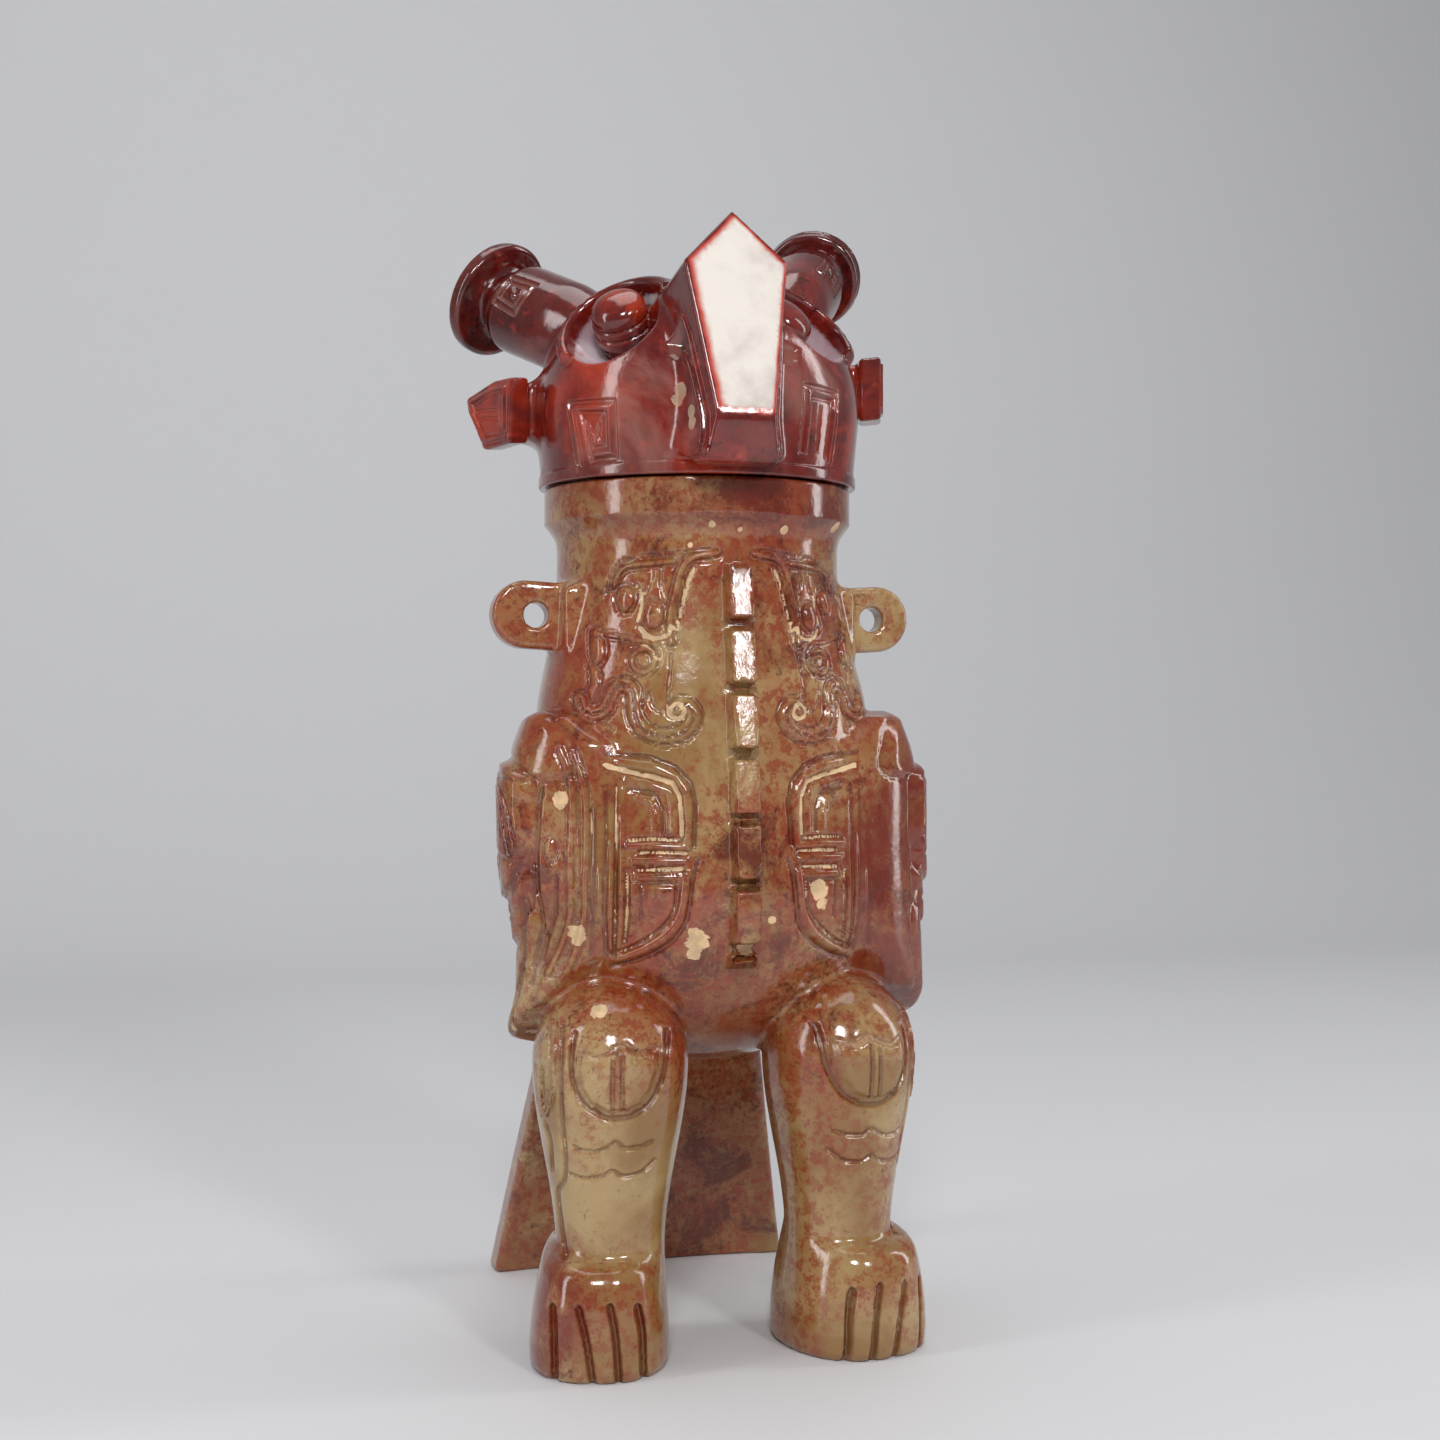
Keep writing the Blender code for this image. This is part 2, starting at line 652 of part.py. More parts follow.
def make_beak():
    """The heavy beak: a flat shield-shaped face, a lip bent under it and flared sides."""
    lip_foot = BEAK_FACE_FOOT_RISE - BEAK_LIP_DEPTH
    # Each corner's place aside, rise, bend out of the face, spread and drop at the root
    half_outline = (
        (BEAK_CORNER_HALF_WIDTH, BEAK_CORNER_RISE, 0.0, BEAK_HIGH_SPREAD, BEAK_ROOT_DROP),
        (BEAK_FOOT_HALF_WIDTH, BEAK_FACE_FOOT_RISE, 0.0, BEAK_LOW_SPREAD, 0.0),
        (BEAK_FOOT_HALF_WIDTH, lip_foot, BEAK_LIP_BEND, BEAK_LOW_SPREAD, 0.0),
    )
    corners = [(0.0, BEAK_APEX_RISE, 0.0, 0.0, BEAK_ROOT_DROP)]
    corners += half_outline
    corners += [(-aside, rise, bend, -spread, drop)
                for aside, rise, bend, spread, drop in reversed(half_outline)]
    lean = math.tan(BEAK_LEAN)
    face = []
    root = []
    for aside, rise, bend, spread, drop in corners:
        back = -BEAK_REACH + max(rise - BEAK_FACE_FOOT_RISE, 0.0) * lean
        height = SEAM_HEIGHT + rise
        face.append(Vector((HEAD_SHIFT + aside, back + bend, height)))
        root.append(Vector((HEAD_SHIFT + aside + spread, back + BEAK_ROOT_DEPTH, height - drop)))
    return loft("beak", (face, root))


def make_eye(side, word):
    """A short round stub that points forward and up, its bowl, and the brow round the bowl."""
    level = math.cos(EYE_RAISE)
    direction = Vector((
        side * math.sin(EYE_TURN) * level, -math.cos(EYE_TURN) * level, math.sin(EYE_RAISE)))
    cap = Vector((side * EYE_OFFSET + EYE_SHIFT, -EYE_FORWARD, SEAM_HEIGHT + EYE_CAP_RISE))
    middle = cap - direction * (EYE_STUB_LENGTH / 2)
    stub = rod(f"{word}_eye", EYE_RADIUS, EYE_STUB_LENGTH, middle, direction, sides=20,
               bevel=EYE_EDGE)
    hub = cap + direction * SOCKET_AHEAD + Vector((side * SOCKET_OUT, 0.0, 0.0))
    bowl = bmesh.new()
    bmesh.ops.create_uvsphere(bowl, u_segments=20, v_segments=12, radius=SOCKET_RADIUS)
    socket = from_bmesh(f"{word}_socket", bowl)
    socket.location = hub
    way = Vector((side * BROW_WAY.x, BROW_WAY.y, BROW_WAY.z)).normalized()
    brow = turned(f"{word}_brow", (
        (0.0, BROW_THICKNESS / 2),
        (BROW_TOP_RADIUS, BROW_THICKNESS / 2),
        (BROW_FOOT_RADIUS, -BROW_THICKNESS / 2),
        (0.0, -BROW_THICKNESS / 2),
    ), steps=HORN_SIDES)
    turn = way.to_track_quat("Z", "Y").to_matrix().to_4x4()
    brow.matrix_world = Matrix.Translation(hub - way * BROW_BEHIND) @ turn
    return stub, socket, brow


def skewed(side, aside, back, rise, shift=HEAD_SHIFT):
    """A place on the head: mirrored to its side, shifted, and raised to the left."""
    return Vector((side * aside + shift, back, SEAM_HEIGHT + rise + side * aside * HEAD_SKEW))


def make_ear(side, word):
    """An upright leaf-shaped plaque on a short thick stem."""
    turn = Matrix.Rotation(-side * EAR_TURN, 4, "Z")
    place = skewed(side, EAR_OFFSET, EAR_BACK, EAR_RISE, shift=0.0)
    rings = []
    for x in (EAR_FACE - EAR_THICKNESS, EAR_FACE):
        rings.append([place + turn @ Vector((side * x, y, z)) for y, z in EAR_OUTLINE])
    plaque = loft(f"{word}_ear", rings)
    inward = turn @ Vector((-side * EAR_STEM_REACH / 2, -EAR_STEM_FORWARD, 0.0))
    stem = block(f"{word}_ear_stem", (EAR_STEM_REACH, EAR_STEM_DEPTH, EAR_STEM_TALL),
                 place + inward, turn, bevel=EAR_STEM_EDGE)
    return plaque, stem


def make_horn(side, word):
    """A bottle-shaped horn: a swelling stem that ends in a round disc."""
    root = skewed(side, *HORN_ROOT)
    tip = skewed(side, *HORN_TIP)
    length = (tip - root).length
    half_disc = HORN_DISC_THICKNESS / 2
    horn = turned(f"{word}_horn", (
        (0.0, length + half_disc),
        (HORN_DISC_RADIUS - HORN_DISC_EDGE, length + half_disc),
        (HORN_DISC_RADIUS, length),
        (HORN_DISC_RADIUS - HORN_DISC_EDGE, length - half_disc),
        (HORN_NECK_RADIUS, length - half_disc - HORN_DISC_EDGE),
        (HORN_NECK_RADIUS, length * HORN_NECK_FOOT),
        (HORN_BULB_RADIUS, length * HORN_BULB_TOP),
        (HORN_BULB_RADIUS, length * HORN_BULB_FOOT),
        (HORN_ROOT_RADIUS, 0.0),
        (0.0, 0.0),
    ), steps=HORN_SIDES)
    turn = (tip - root).to_track_quat("Z", "Y").to_matrix().to_4x4()
    horn.matrix_world = Matrix.Translation(root) @ turn
    return horn


def make_lid():
    """The head, with the plug that holds it in the vessel's mouth."""
    lid = make_dome()
    eyes = [make_eye(side, word) for side, word in SIDES]
    for stub, socket, brow in eyes:
        combine(lid, brow, "UNION")
        combine(lid, socket, "DIFFERENCE")
    combine(lid, make_beak(), "UNION")
    for stub, socket, brow in eyes:
        combine(lid, stub, "UNION")
    tidy_joins(lid)
    for side, word in SIDES:
        plaque, stem = make_ear(side, word)
        combine(lid, stem, "UNION")
        combine(lid, plaque, "UNION")
        combine(lid, make_horn(side, word), "UNION")
    tidy_joins(lid)
    return lid


def publish(item, collection, material):
    """Move a finished piece out of the tools' collection and show it."""
    bpy.data.collections["tools"].objects.unlink(item)
    collection.objects.link(item)
    item.hide_render = False
    item.display_type = "TEXTURED"
    item.data.materials.append(material)
    item.data.shade_smooth()
    item.data.set_sharp_from_angle(angle=math.radians(35))


def build():
    """Make both pieces and centre the model over the origin."""
    clear_scene()
    bottle = new_collection("jade_bottle")
    new_collection("tools")
    vessel = make_vessel()
    lid = make_lid()
    publish(vessel, bottle, stone("mottled_jade", (0.42, 0.24, 0.13), 0.16))
    publish(lid, bottle, stone("red_jade", (0.20, 0.025, 0.015), 0.14))
    centre = bpy.data.objects.new("neck_axis", None)
    bottle.objects.link(centre)
    centre.location = (SIDE_CENTRING, CENTRING, 0.0)
    for item in list(bpy.data.collections["tools"].objects) + [vessel, lid]:
        item.parent = centre


build()
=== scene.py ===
"""Looks of the owl-shaped jade bottle: two carved stones, the vessel and the lifting head.

Each stone is described by a distance field in millimetres, measured from the neck's axis as in
the CAD source. The field is turned into one mesh that is finest where the carving is.
"""
import math

import bpy
import numpy as np
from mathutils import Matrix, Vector


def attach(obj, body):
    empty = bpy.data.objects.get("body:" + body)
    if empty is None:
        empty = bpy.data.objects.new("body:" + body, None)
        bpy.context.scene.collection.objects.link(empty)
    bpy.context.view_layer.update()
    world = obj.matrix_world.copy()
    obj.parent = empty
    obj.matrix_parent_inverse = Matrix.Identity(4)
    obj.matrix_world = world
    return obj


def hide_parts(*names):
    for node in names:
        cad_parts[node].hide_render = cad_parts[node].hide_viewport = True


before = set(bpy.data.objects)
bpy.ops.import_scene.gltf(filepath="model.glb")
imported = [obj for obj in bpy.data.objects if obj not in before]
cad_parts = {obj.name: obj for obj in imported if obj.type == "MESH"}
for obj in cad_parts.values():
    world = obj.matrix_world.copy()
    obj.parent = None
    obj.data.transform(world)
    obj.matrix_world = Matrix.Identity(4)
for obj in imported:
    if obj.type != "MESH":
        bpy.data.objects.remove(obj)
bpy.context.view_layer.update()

MM = 0.001
VESSEL_CELL, HEAD_CELL = 2.4, 2.0       # mm, the coarsest mesh
AXIS = np.array((1.5, -7.2, 0.0))       # the neck's axis in the row frame, mm

# Camera, from the photograph's perspective
PIXEL = 0.1945                          # mm to a photo pixel at the neck's axis
CAMERA_TURN = math.radians(16.0)
CAMERA_FAR = 2100.0 * PIXEL
CAMERA_ASIDE = 23.0 * PIXEL
CAMERA_HEIGHT = 600.0 * PIXEL
COS_TURN, SIN_TURN = math.cos(CAMERA_TURN), math.sin(CAMERA_TURN)

# Body
SEAM = 161.0
COLLAR_RADIUS, COLLAR_TALL = 29.6, 7.6
NECK_RADIUS, NECK_FOOT = 27.2, 143.0
SHOULDER_HEIGHT, SHOULDER_WIDTH, SHOULDER_FRONT, SHOULDER_BACK = 124.0, 31.0, 29.6, 29.6
BELLY_HEIGHT, BELLY_WIDTH, BELLY_FRONT, BELLY_BACK = 86.0, 35.4, 32.6, 34.0
UNDERSIDE = 51.0
BODY_FORWARD = 8.0
MOUTH_RADIUS, WALL, HOLLOW_FLOOR = 20.0, 6.5, 64.0
MOUTH_DEPTH = 13.0
RIDGE_TOP, RIDGE_TALL, RIDGE_GAP, RIDGE_HALF, RIDGE_STAND = 144.8, 9.9, 1.8, 2.2, 3.6
RIDGE_BLOCKS, RIDGE_LAST_TALL = 7, 2.8
LUG_OUT, LUG_FORWARD, LUG_HEIGHT, LUG_RADIUS, LUG_HOLE, LUG_HALF = 33.2, 5.2, 136.3, 6.4, 2.35, 2.8
LUG_OVERREACH, RIGHT_LUG_LONGER = 1.2, 0.6
# Wings: height, half width on the right and on the left, and reach behind the widest place
WING_FORWARD, WING_FRONT = 13.0, 16.6
WING_LEVELS = np.array((
    (50, 39.4, 39.6, 26), (57, 39.3, 40.2, 27), (66, 36.9, 40.4, 28), (75, 36.6, 40.2, 31),
    (80, 37.3, 40.0, 32), (90, 38.5, 39.6, 36), (105, 38.8, 39.6, 37), (112, 37.2, 37.8, 37),
    (122, 33.5, 33.7, 37)))
LEG_OUT, LEG_FORWARD = 21.9, 20.0
THIGH_TOP, THIGH_HEIGHT, THIGH_WIDTH, THIGH_DEPTH = 69.5, 55.0, 14.2, 15.0
ANKLE_HEIGHT, ANKLE_WIDTH, ANKLE_DEPTH = 21.0, 10.0, 9.8
FOOT_OUT, FOOT_FORWARD, FOOT_HALF, FOOT_LONG, FOOT_TOP = 23.9, 19.8, 12.7, 15.2, 20.6
FOOT_SPLAY, FOOT_POWER, LEFT_FOOT_BROADER = math.radians(14.0), 2.35, 1.06
# A foot's share of its half width, and of its half length, at the heights before them
FOOT_WIDTHS = ((0, 1.5, 4, 8, 12, 15, 18, 21), (0.93, 0.985, 1.0, 0.98, 0.94, 0.90, 0.85, 0.80))
FOOT_LENGTHS = ((0, 1.5, 4, 8, 13, 17, 21), (0.95, 0.99, 1.0, 1.0, 0.975, 0.93, 0.88))
TAIL_REACH, TAIL_THICK, TAIL_FOOT_HALF = 55.0, 8.3, 31.7
TAIL_ROOT_HEIGHT, TAIL_ROOT_HALF, TAIL_ROOT_REACH = 92.0, 16.0, 31.0

# Head
LID_GAP, BAND_RADIUS, BAND_TALL = 0.16, 30.7, 2.3
DOME_RADIUS, DOME_SPRING, CROWN, DOME_POWER = 31.3, 174.0, 201.3, 2.33
PLUG_RADIUS, PLUG_LENGTH = 19.6, 8.0
HEAD_SKEW, HEAD_SHIFT = 0.1, -1.8
BEAK_REACH, BEAK_APEX, BEAK_CORNER, BEAK_FOOT, BEAK_LIP = 40.6, 208.4, 198.8, 170.3, 8.3
BEAK_CORNER_HALF, BEAK_FOOT_HALF, BEAK_LEAN = 9.7, 5.4, math.radians(13.5)
BEAK_SPREAD, BEAK_DEPTH, BEAK_DROP = 7.2, 20.0, 4.0
EYE_SHIFT, EYE_OUT, EYE_FORWARD, EYE_HEIGHT, EYE_RADIUS = -2.8, 17.5, 16.5, 194.2, 5.2
EYE_RAISE, EYE_TURN = math.radians(42.0), math.radians(36.0)
SOCKET_RADIUS, SOCKET_STAND, SOCKET_OUT = 10.5, 1.8, np.array((-0.4, 0.9, -3.3))
# Brow: notches in a full turn, how deep they are, and the angle at its middle
BROW_NOTCHES, NOTCH_DEEP, BROW_MIDDLE = 30, 0.42, 0.62
# Eye stub: its radius at distances along it
STUB = ((-17, -13, -10, -8, -6.4, -5.9, -5.6, -5.3, -4.1, -3.8, -3.5, 0.0),
        (3.0, 3.4, 4.4, 5.5, 5.9, 5.8, 5.35, 5.7, 5.6, 5.1, 5.35, EYE_RADIUS))
EAR_TURN, EAR_OUT, EAR_BACK, EAR_HEIGHT = math.radians(20.0), 39.0, 6.4, 179.1
EAR_THICK = 4.4
HORN_ROOT, HORN_TIP = np.array((18.5, 3.5, 192.5)), np.array((34.6, 28.5, 206.2))
RIGHT_HORN_SHIFT = np.array((1.8, 0.0, -0.7))
BULB_RADIUS, HORN_NECK, DISC_RADIUS, DISC_THICK = 8.8, 5.6, 11.0, 3.8
RIGHT_DISC_WIDER, LEFT_DISC_WIDER = 0.35, -0.55

# Mesh: edges are FINEST at carved lines and longer by GROWTH for each millimetre beyond LINE_HALF
PASSES, MOST_TRIANGLES, TRIANGLES_A_SPLIT = 4, 190000, 2.2
FINEST, LINE_HALF, GROWTH = 0.42, 0.6, 1.8
BEND, BEND_FINEST = 0.026, 0.6          # how far an edge may turn, and the shortest edge for it
BACK_FROM, BACK_BELOW, BACK_COARSER = 14, 150, 2.0

# Stage
SKY_COLOUR, SKY_STRENGTH = (0.9, 0.92, 0.95, 1.0), 0.24
SENSOR, LENS = 36.0, 52.5               # mm

# Carved lines, in millimetres. Each row holds a kind, half width, height, share of clay left in
# it, whether its lines are smooth curves, and the lines, as their points' coordinates in turn.
# Breast and leg: sideways as seen from the camera, and height
BREAST_STROKES = (
    ("thread", 0.62, 0.55, 0.25, True, (3.76, 146.95, 0.9, 146.59, -1.25, 145.7, -2.69, 143.55,
     -3.58, 139.97, -4.47, 136.03, -4.65, 132.45, -4.3, 130.66)),
    ("cut", 0.45, 0.35, 0.9, True, (-0.18, 144.27, -1.25, 141.76, -2.15, 138.18, -3.04, 134.24,
     -3.4, 131.02)),
    ("thread", 0.5, 0.42, 0, True, (-3.94, 145.52, -8.05, 145.25, -12.35, 144.8, -14.14, 143.55,
     -14.86, 141.22)),
    ("cut", 0.35, 0.3, 0, True, (0.9, 147.31, -5.37, 146.95, -11.63, 146.24, -14.14, 145.34,
     -15.75, 142.83, -16.29, 139.61)),
    ("knob", 0, 0.9, 0, True, (-12.82, 141.13, -11.28, 140.15, -11.19, 138.18, -12.35, 136.48,
     -13.78, 136.75, -14.5, 138.54, -14.14, 140.33)),
    ("cut", 0.4, 0.32, 0.9, True, (-11.1, 141.58, -9.84, 139.97, -9.84, 137.11, -10.56, 134.6)),
    ("cut", 0.35, 0.3, 0.8, True, (-7.88, 144.27, -8.23, 141.76, -9.13, 139.61)),
    ("cut", 0.35, 0.3, 0.7, True, (-6.26, 144.27, -6.26, 141.4, -5.55, 138.9)),
    ("knob", 0, 0.95, 0, True, (-7.7, 138.36, -6, 137.46, -5.73, 135.5, -6.44, 133.71,
     -7.88, 133.17, -9.31, 134.06, -9.58, 136.21, -8.95, 137.82)),
    ("cut", 0.5, 0.4, 1, True, (-10.2, 133.53, -8.95, 132.09, -6.98, 131.56, -5.01, 132.09,
     -4.3, 133.53)),
    ("thread", 0.4, 0.3, 0.6, True, (-17.18, 132.45, -14.14, 131.91, -11.28, 131.2, -8.77, 130.84,
     -7.16, 129.77, -6.62, 128.34)),
    ("ring", 0.5, 0.5, 0.2, True, (-9.4, 129.59, -7.88, 128.87, -7.25, 127.44, -7.88, 126.01,
     -9.4, 125.29, -10.92, 126.01, -11.55, 127.44, -10.92, 128.87)),
    ("cut", 0.35, 0.35, 0.7, True, (-4.12, 130.12, -4.47, 126.01, -4.83, 122.07, -5.01, 118.13)),
    ("knob", 0, 0.7, 0.1, True, (-19.15, 133.35, -17.36, 132.63, -16.47, 129.95, -16.83, 127.8,
     -18.26, 126.72, -19.15, 128.87)),
    ("cut", 0.4, 0.4, 0.3, True, (-19.87, 126.72, -19.33, 123.86, -20.41, 121.35)),
    ("cut", 0.4, 0.35, 0.6, True, (-17.54, 126.01, -17.18, 123.5, -18.26, 120.64, -19.33, 119.74)),
    ("band", 1.15, 0.62, 0.35, True, (-21.12, 120.46, -20.59, 118.67, -19.15, 117.77,
     -17.36, 118.04, -16.11, 119.21, -15.3, 121.09, -14.32, 122.61, -12.89, 123.05, -11.63, 122.43,
     -11.1, 120.64, -10.92, 117.77, -9.84, 115.45, -8.05, 114.28, -5.73, 113.75, -3.04, 114.1,
     -1.07, 115.45, -0.18, 117.42, -0.98, 119.03, -2.51, 119.56, -3.58, 118.67)),
    ("knob", 0, 0.55, 1, True, (-3.22, 119.21, -2.33, 118.31, -3.04, 117.42, -4.3, 117.95)),
    ("cut", 0.4, 0.3, 0.5, True, (-8.41, 122.07, -7.7, 119.39, -6.26, 118.13)),
    ("cut", 0.35, 0.25, 0.3, True, (-17, 115.98, -14.86, 115.27, -16.29, 114.19)),
    ("cut", 0.5, 0.5, 0.35, False, (-18.75, 110.99, -13.82, 110.5, -8.06, 110, -3.54, 108.28,
     -0.87, 105.48, 0.08, 101.78, -0.25, 93.97)),
    ("ridge", 0.75, 0.55, 0, False, (-17.93, 110, -12.17, 108.97, -6.83, 108.03, -3.54, 106.51,
     -1.69, 103.84, -1.16, 99.72, -1.28, 93.97)),
    ("cut", 0.55, 0.55, 1, False, (-17.52, 108.97, -12.17, 107.45, -7.24, 106.38, -4.16, 105.48,
     -2.8, 103.01, -2.39, 98.9, -2.39, 96.02)),
    ("ridge", 0.55, 0.4, 0, False, (-12.17, 105.89, -7.24, 104.86, -4.57, 103.84, -3.95, 100.96,
     -3.87, 96.64)),
    ("cut", 0.45, 0.45, 0.4, False, (-11.97, 104.33, -7.03, 103.34, -5.8, 100.55, -5.6, 96.44)),
    ("ridge", 0.45, 0.35, 0, False, (-10.53, 102.6, -8.14, 101.99, -7.45, 99.72, -7.36, 96.85)),
    ("cut", 0.5, 0.5, 0.3, False, (-18.22, 107.95, -18.05, 95.61, -18.26, 83.28, -18.83, 72.59)),
    ("ridge", 0.6, 0.55, 0, False, (-17.11, 102.19, -17.02, 91.5, -17.31, 81.22, -17.11, 75.06),
     (-15.09, 103.01, -15.09, 91.5, -15.34, 81.22, -15.13, 75.47), (-11.15, 91.42, -6.42, 91.42,
     -1.9, 91.5)),
    ("cut", 0.45, 0.5, 0.5, False, (-16.08, 103.84, -16.04, 91.5, -16.28, 81.22, -15.96, 74.23)),
    ("cut", 0.45, 0.5, 0.6, False, (-14.15, 104.66, -14.15, 91.5, -14.31, 81.22, -14.64, 74.23)),
    ("ridge", 0.55, 0.5, 0, False, (-13.16, 104.04, -13.16, 91.5, -13.32, 81.22, -13.9, 75.88),
     (-12.17, 93.97, -7.24, 94.13, -2.31, 93.97)),
    ("cut", 0.45, 0.5, 0.8, False, (-12.17, 89.04, -12.17, 82.05, -12.67, 76.7)),
    ("cut", 0.45, 0.5, 1, False, (-11.76, 95.12, -7.24, 95.41, -2.72, 95.12), (-10.12, 92.82,
     -6.42, 92.98, -1.48, 92.82), (-10.53, 89.78, -6.42, 89.86, -2.31, 90.06)),
    ("ridge", 0.5, 0.4, 0, False, (-10.12, 88.54, -6.42, 88.54, -3.05, 88.62), (-11.02, 87.39,
     -11.02, 81.64, -11.56, 78.35)),
    ("cut", 0.45, 0.5, 0.4, True, (0.57, 91.5, -0.46, 87.8, -0.87, 84.1, -1.9, 79.79, -4.98, 76.29,
     -9.71, 73.82, -15.26, 72.26)),
    ("ridge", 0.7, 0.6, 0, True, (-1.48, 89.04, -1.98, 84.1, -3.05, 80.61, -5.8, 77.44,
     -9.71, 75.14, -13.82, 73.62)),
    ("cut", 0.45, 0.5, 0.7, True, (-3.21, 87.39, -3.33, 84.1, -4.44, 81.22, -7.03, 78.55,
     -10.12, 76.5, -13, 75.14)),
    ("cut", 0.4, 0.4, 0.2, False, (-4.16, 87.39, -9.71, 87.39, -9.71, 80.81)),
)
LEG_STROKES = (
    ("plate", 0, 0.55, 0.25, False, (-20.12, 58.37, -18.71, 57.58, -17.13, 57.31, -15.02, 57.84,
     -13.62, 58.72, -12.39, 59.42, -11.16, 58.63, -9.58, 57.84, -6.5, 58.37, -6.59, 55.21,
     -7.64, 51.69, -9.4, 49.06, -12.21, 47.83, -15.2, 47.83, -18.36, 49.41, -19.94, 52.04,
     -20.47, 55.21)),
    ("cut", 0.5, 0.5, 0.1, True, (-21.17, 61.18, -21.7, 56.96, -21.35, 52.75, -19.59, 49.23,
     -17.13, 47.47, -14.5, 46.68, -11.33, 46.95, -8.52, 48.53, -6.59, 51.34, -5.36, 55.21,
     -5.01, 61.18)),
    ("cut", 0.4, 0.42, 0, False, (-14.23, 57.31, -14.41, 52.57, -14.32, 48.18), (-12.56, 57.49,
     -12.65, 52.57, -12.65, 48.18)),
    ("thread", 0.32, 0.25, 0, False, (-13.44, 58.02, -13.53, 52.57, -13.44, 47.83)),
    ("cut", 0.38, 0.36, 0.1, True, (-21.35, 41.15, -19.41, 40.45, -17.13, 40.62, -15.2, 41.5,
     -13.79, 42.2, -12.39, 41.15, -10.1, 41.15, -7.47, 41.85), (-22.23, 36.05, -20.29, 35.53,
     -18.01, 35.61, -15.9, 36.23, -14.5, 37.02, -12.91, 36.05, -10.81, 36.14, -9.05, 36.76,
     -7.12, 38.34)),
    ("cut", 0.5, 0.4, 0.5, True, (-23.46, 62.23, -23.63, 54.33, -23.46, 46.42, -22.93, 38.51,
     -23.28, 34.47, -24.51, 31.84, -23.98, 26.21, -23.1, 20.77)),
    ("thread", 0.35, 0.3, 0.3, True, (-25.56, 63.64, -25.04, 58.72, -25.21, 52.57, -25.92, 48.53,
     -26.79, 46.07, -27.67, 49.06, -27.85, 54.33)),
    ("cut", 0.4, 0.35, 0.2, True, (-26.62, 44.31, -25.74, 41.15, -25.56, 35.88)),
)
# Wing's side: depth, and height
WING_STROKES = (
    ("boss", 0, 0.9, 0, True, (-23.5, 109, -21, 115, -15, 118, -8, 117, -4, 111.5, -7, 107.5,
     -15, 106.5, -22, 106)),
    ("boss", 0, 2.5, 0, True, (-19.2, 101, -18.4, 106.6, -10, 109.6, 0, 108.4, 7, 101, 8, 94, 5, 87,
     -2, 83, -10, 83.5, -16.5, 87, -19, 94)),
    ("boss", 0, 1.5, 0, True, (-17.6, 90, -17.2, 82, -14, 77, -5, 74.5, 3, 77, 9, 84, 12, 92, 4, 92,
     -6, 92)),
    ("boss", 0, 0.9, 0.3, True, (-18, 82, -18.4, 72, -15.5, 63, -8, 57, 4, 56, 16, 62, 15, 76,
     8, 84, -6, 80)),
    ("cut", 0.5, 0.6, 0.6, True, (-15.5, 79, -15, 70, -11, 62, -5, 57)),
    ("thread", 0.7, 0.5, 0.2, True, (-17.5, 93, -13.5, 103, -4, 106.5, 4, 101.5, 4.6, 93, -1.5, 87,
     -9, 88.5, -12.5, 95, -9.5, 101, -3.5, 101.8, 0, 97, -2.5, 92.5, -7, 93.5, -7.5, 97)),
    ("cut", 0.5, 0.45, 0.4, True, (-12, 83, -9, 79, -3, 78.5, 3, 82)),
    ("cut", 0.55, 0.7, 0.5, True, (-17, 84, -15, 73, -9, 64, -1, 58.5)),
    ("cut", 0.55, 0.7, 0.3, True, (-9, 76, -6, 68, 0, 61, 7, 56), (0, 76.5, 3, 69, 8, 62, 14, 57.5),
     (8, 82, 11, 73, 16, 65, 21, 61)),
    ("cut", 0.55, 0.7, 0.2, True, (13, 90, 17, 80, 22, 71, 27, 67)),
    ("cut", 0.45, 0.5, 0.2, True, (-2, 112, 8, 107, 16, 98, 21, 88, 25.5, 78), (8, 102, 14, 95,
     18, 87, 23, 76)),
    ("thread", 0.45, 0.35, 0.2, True, (-13, 80, -10.5, 72, -5, 65, 2, 59.5), (-4, 76, -1, 69.5,
     4, 63.5, 10, 58.5), (4, 79.5, 7, 71.5, 12, 65, 17.5, 60.5), (11, 87, 14, 77.5, 19, 69.5,
     24, 65.5)),
)
# Front of a wing, as seen from the camera: sideways, and height
WING_FACE_STROKES = (
    ("knob", 0, 0.6, 0.1, True, (-25.1, 93.3, -25.5, 94.8, -26.2, 95.3, -26.9, 94.8, -27.3, 93.3,
     -26.9, 91.8, -26.2, 91.3, -25.5, 91.8)),
    ("thread", 0.6, 0.5, 0.35, True, (-24.4, 111.5, -22.8, 107.5, -22.2, 101.1, -22.6, 91.7,
     -22.5, 82.2, -24, 76.5, -26.6, 71)),
    ("thread", 0.6, 0.5, 0.5, True, (-22, 110.5, -20.4, 106, -19.5, 100.2, -19.8, 88, -20, 81.3,
     -21.6, 75, -24.2, 69)),
    ("cut", 0.45, 0.5, 0.2, True, (-27.6, 104.5, -28.4, 99, -28.6, 88, -27.6, 80, -29.4, 72)),
    ("cut", 0.4, 0.45, 0.1, True, (-25, 88.5, -25.2, 82, -27.4, 75, -30, 68.5)),
)
WING_OUTLINE = ((-14, 118.5), (-20, 117.3), (-24.6, 112.5), (-26.8, 105), (-27.3, 95), (-26.6, 84),
    (-24, 74), (-19, 66.5), (-12, 61), (-5, 57.5), (3, 54.5), (9, 53.6), (11, 56.5), (16, 56),
    (18, 59.5), (23, 59.5), (24.5, 64), (28.5, 66), (29, 74), (28, 84), (24, 95), (17, 104.5),
    (8, 112), (-4, 117))
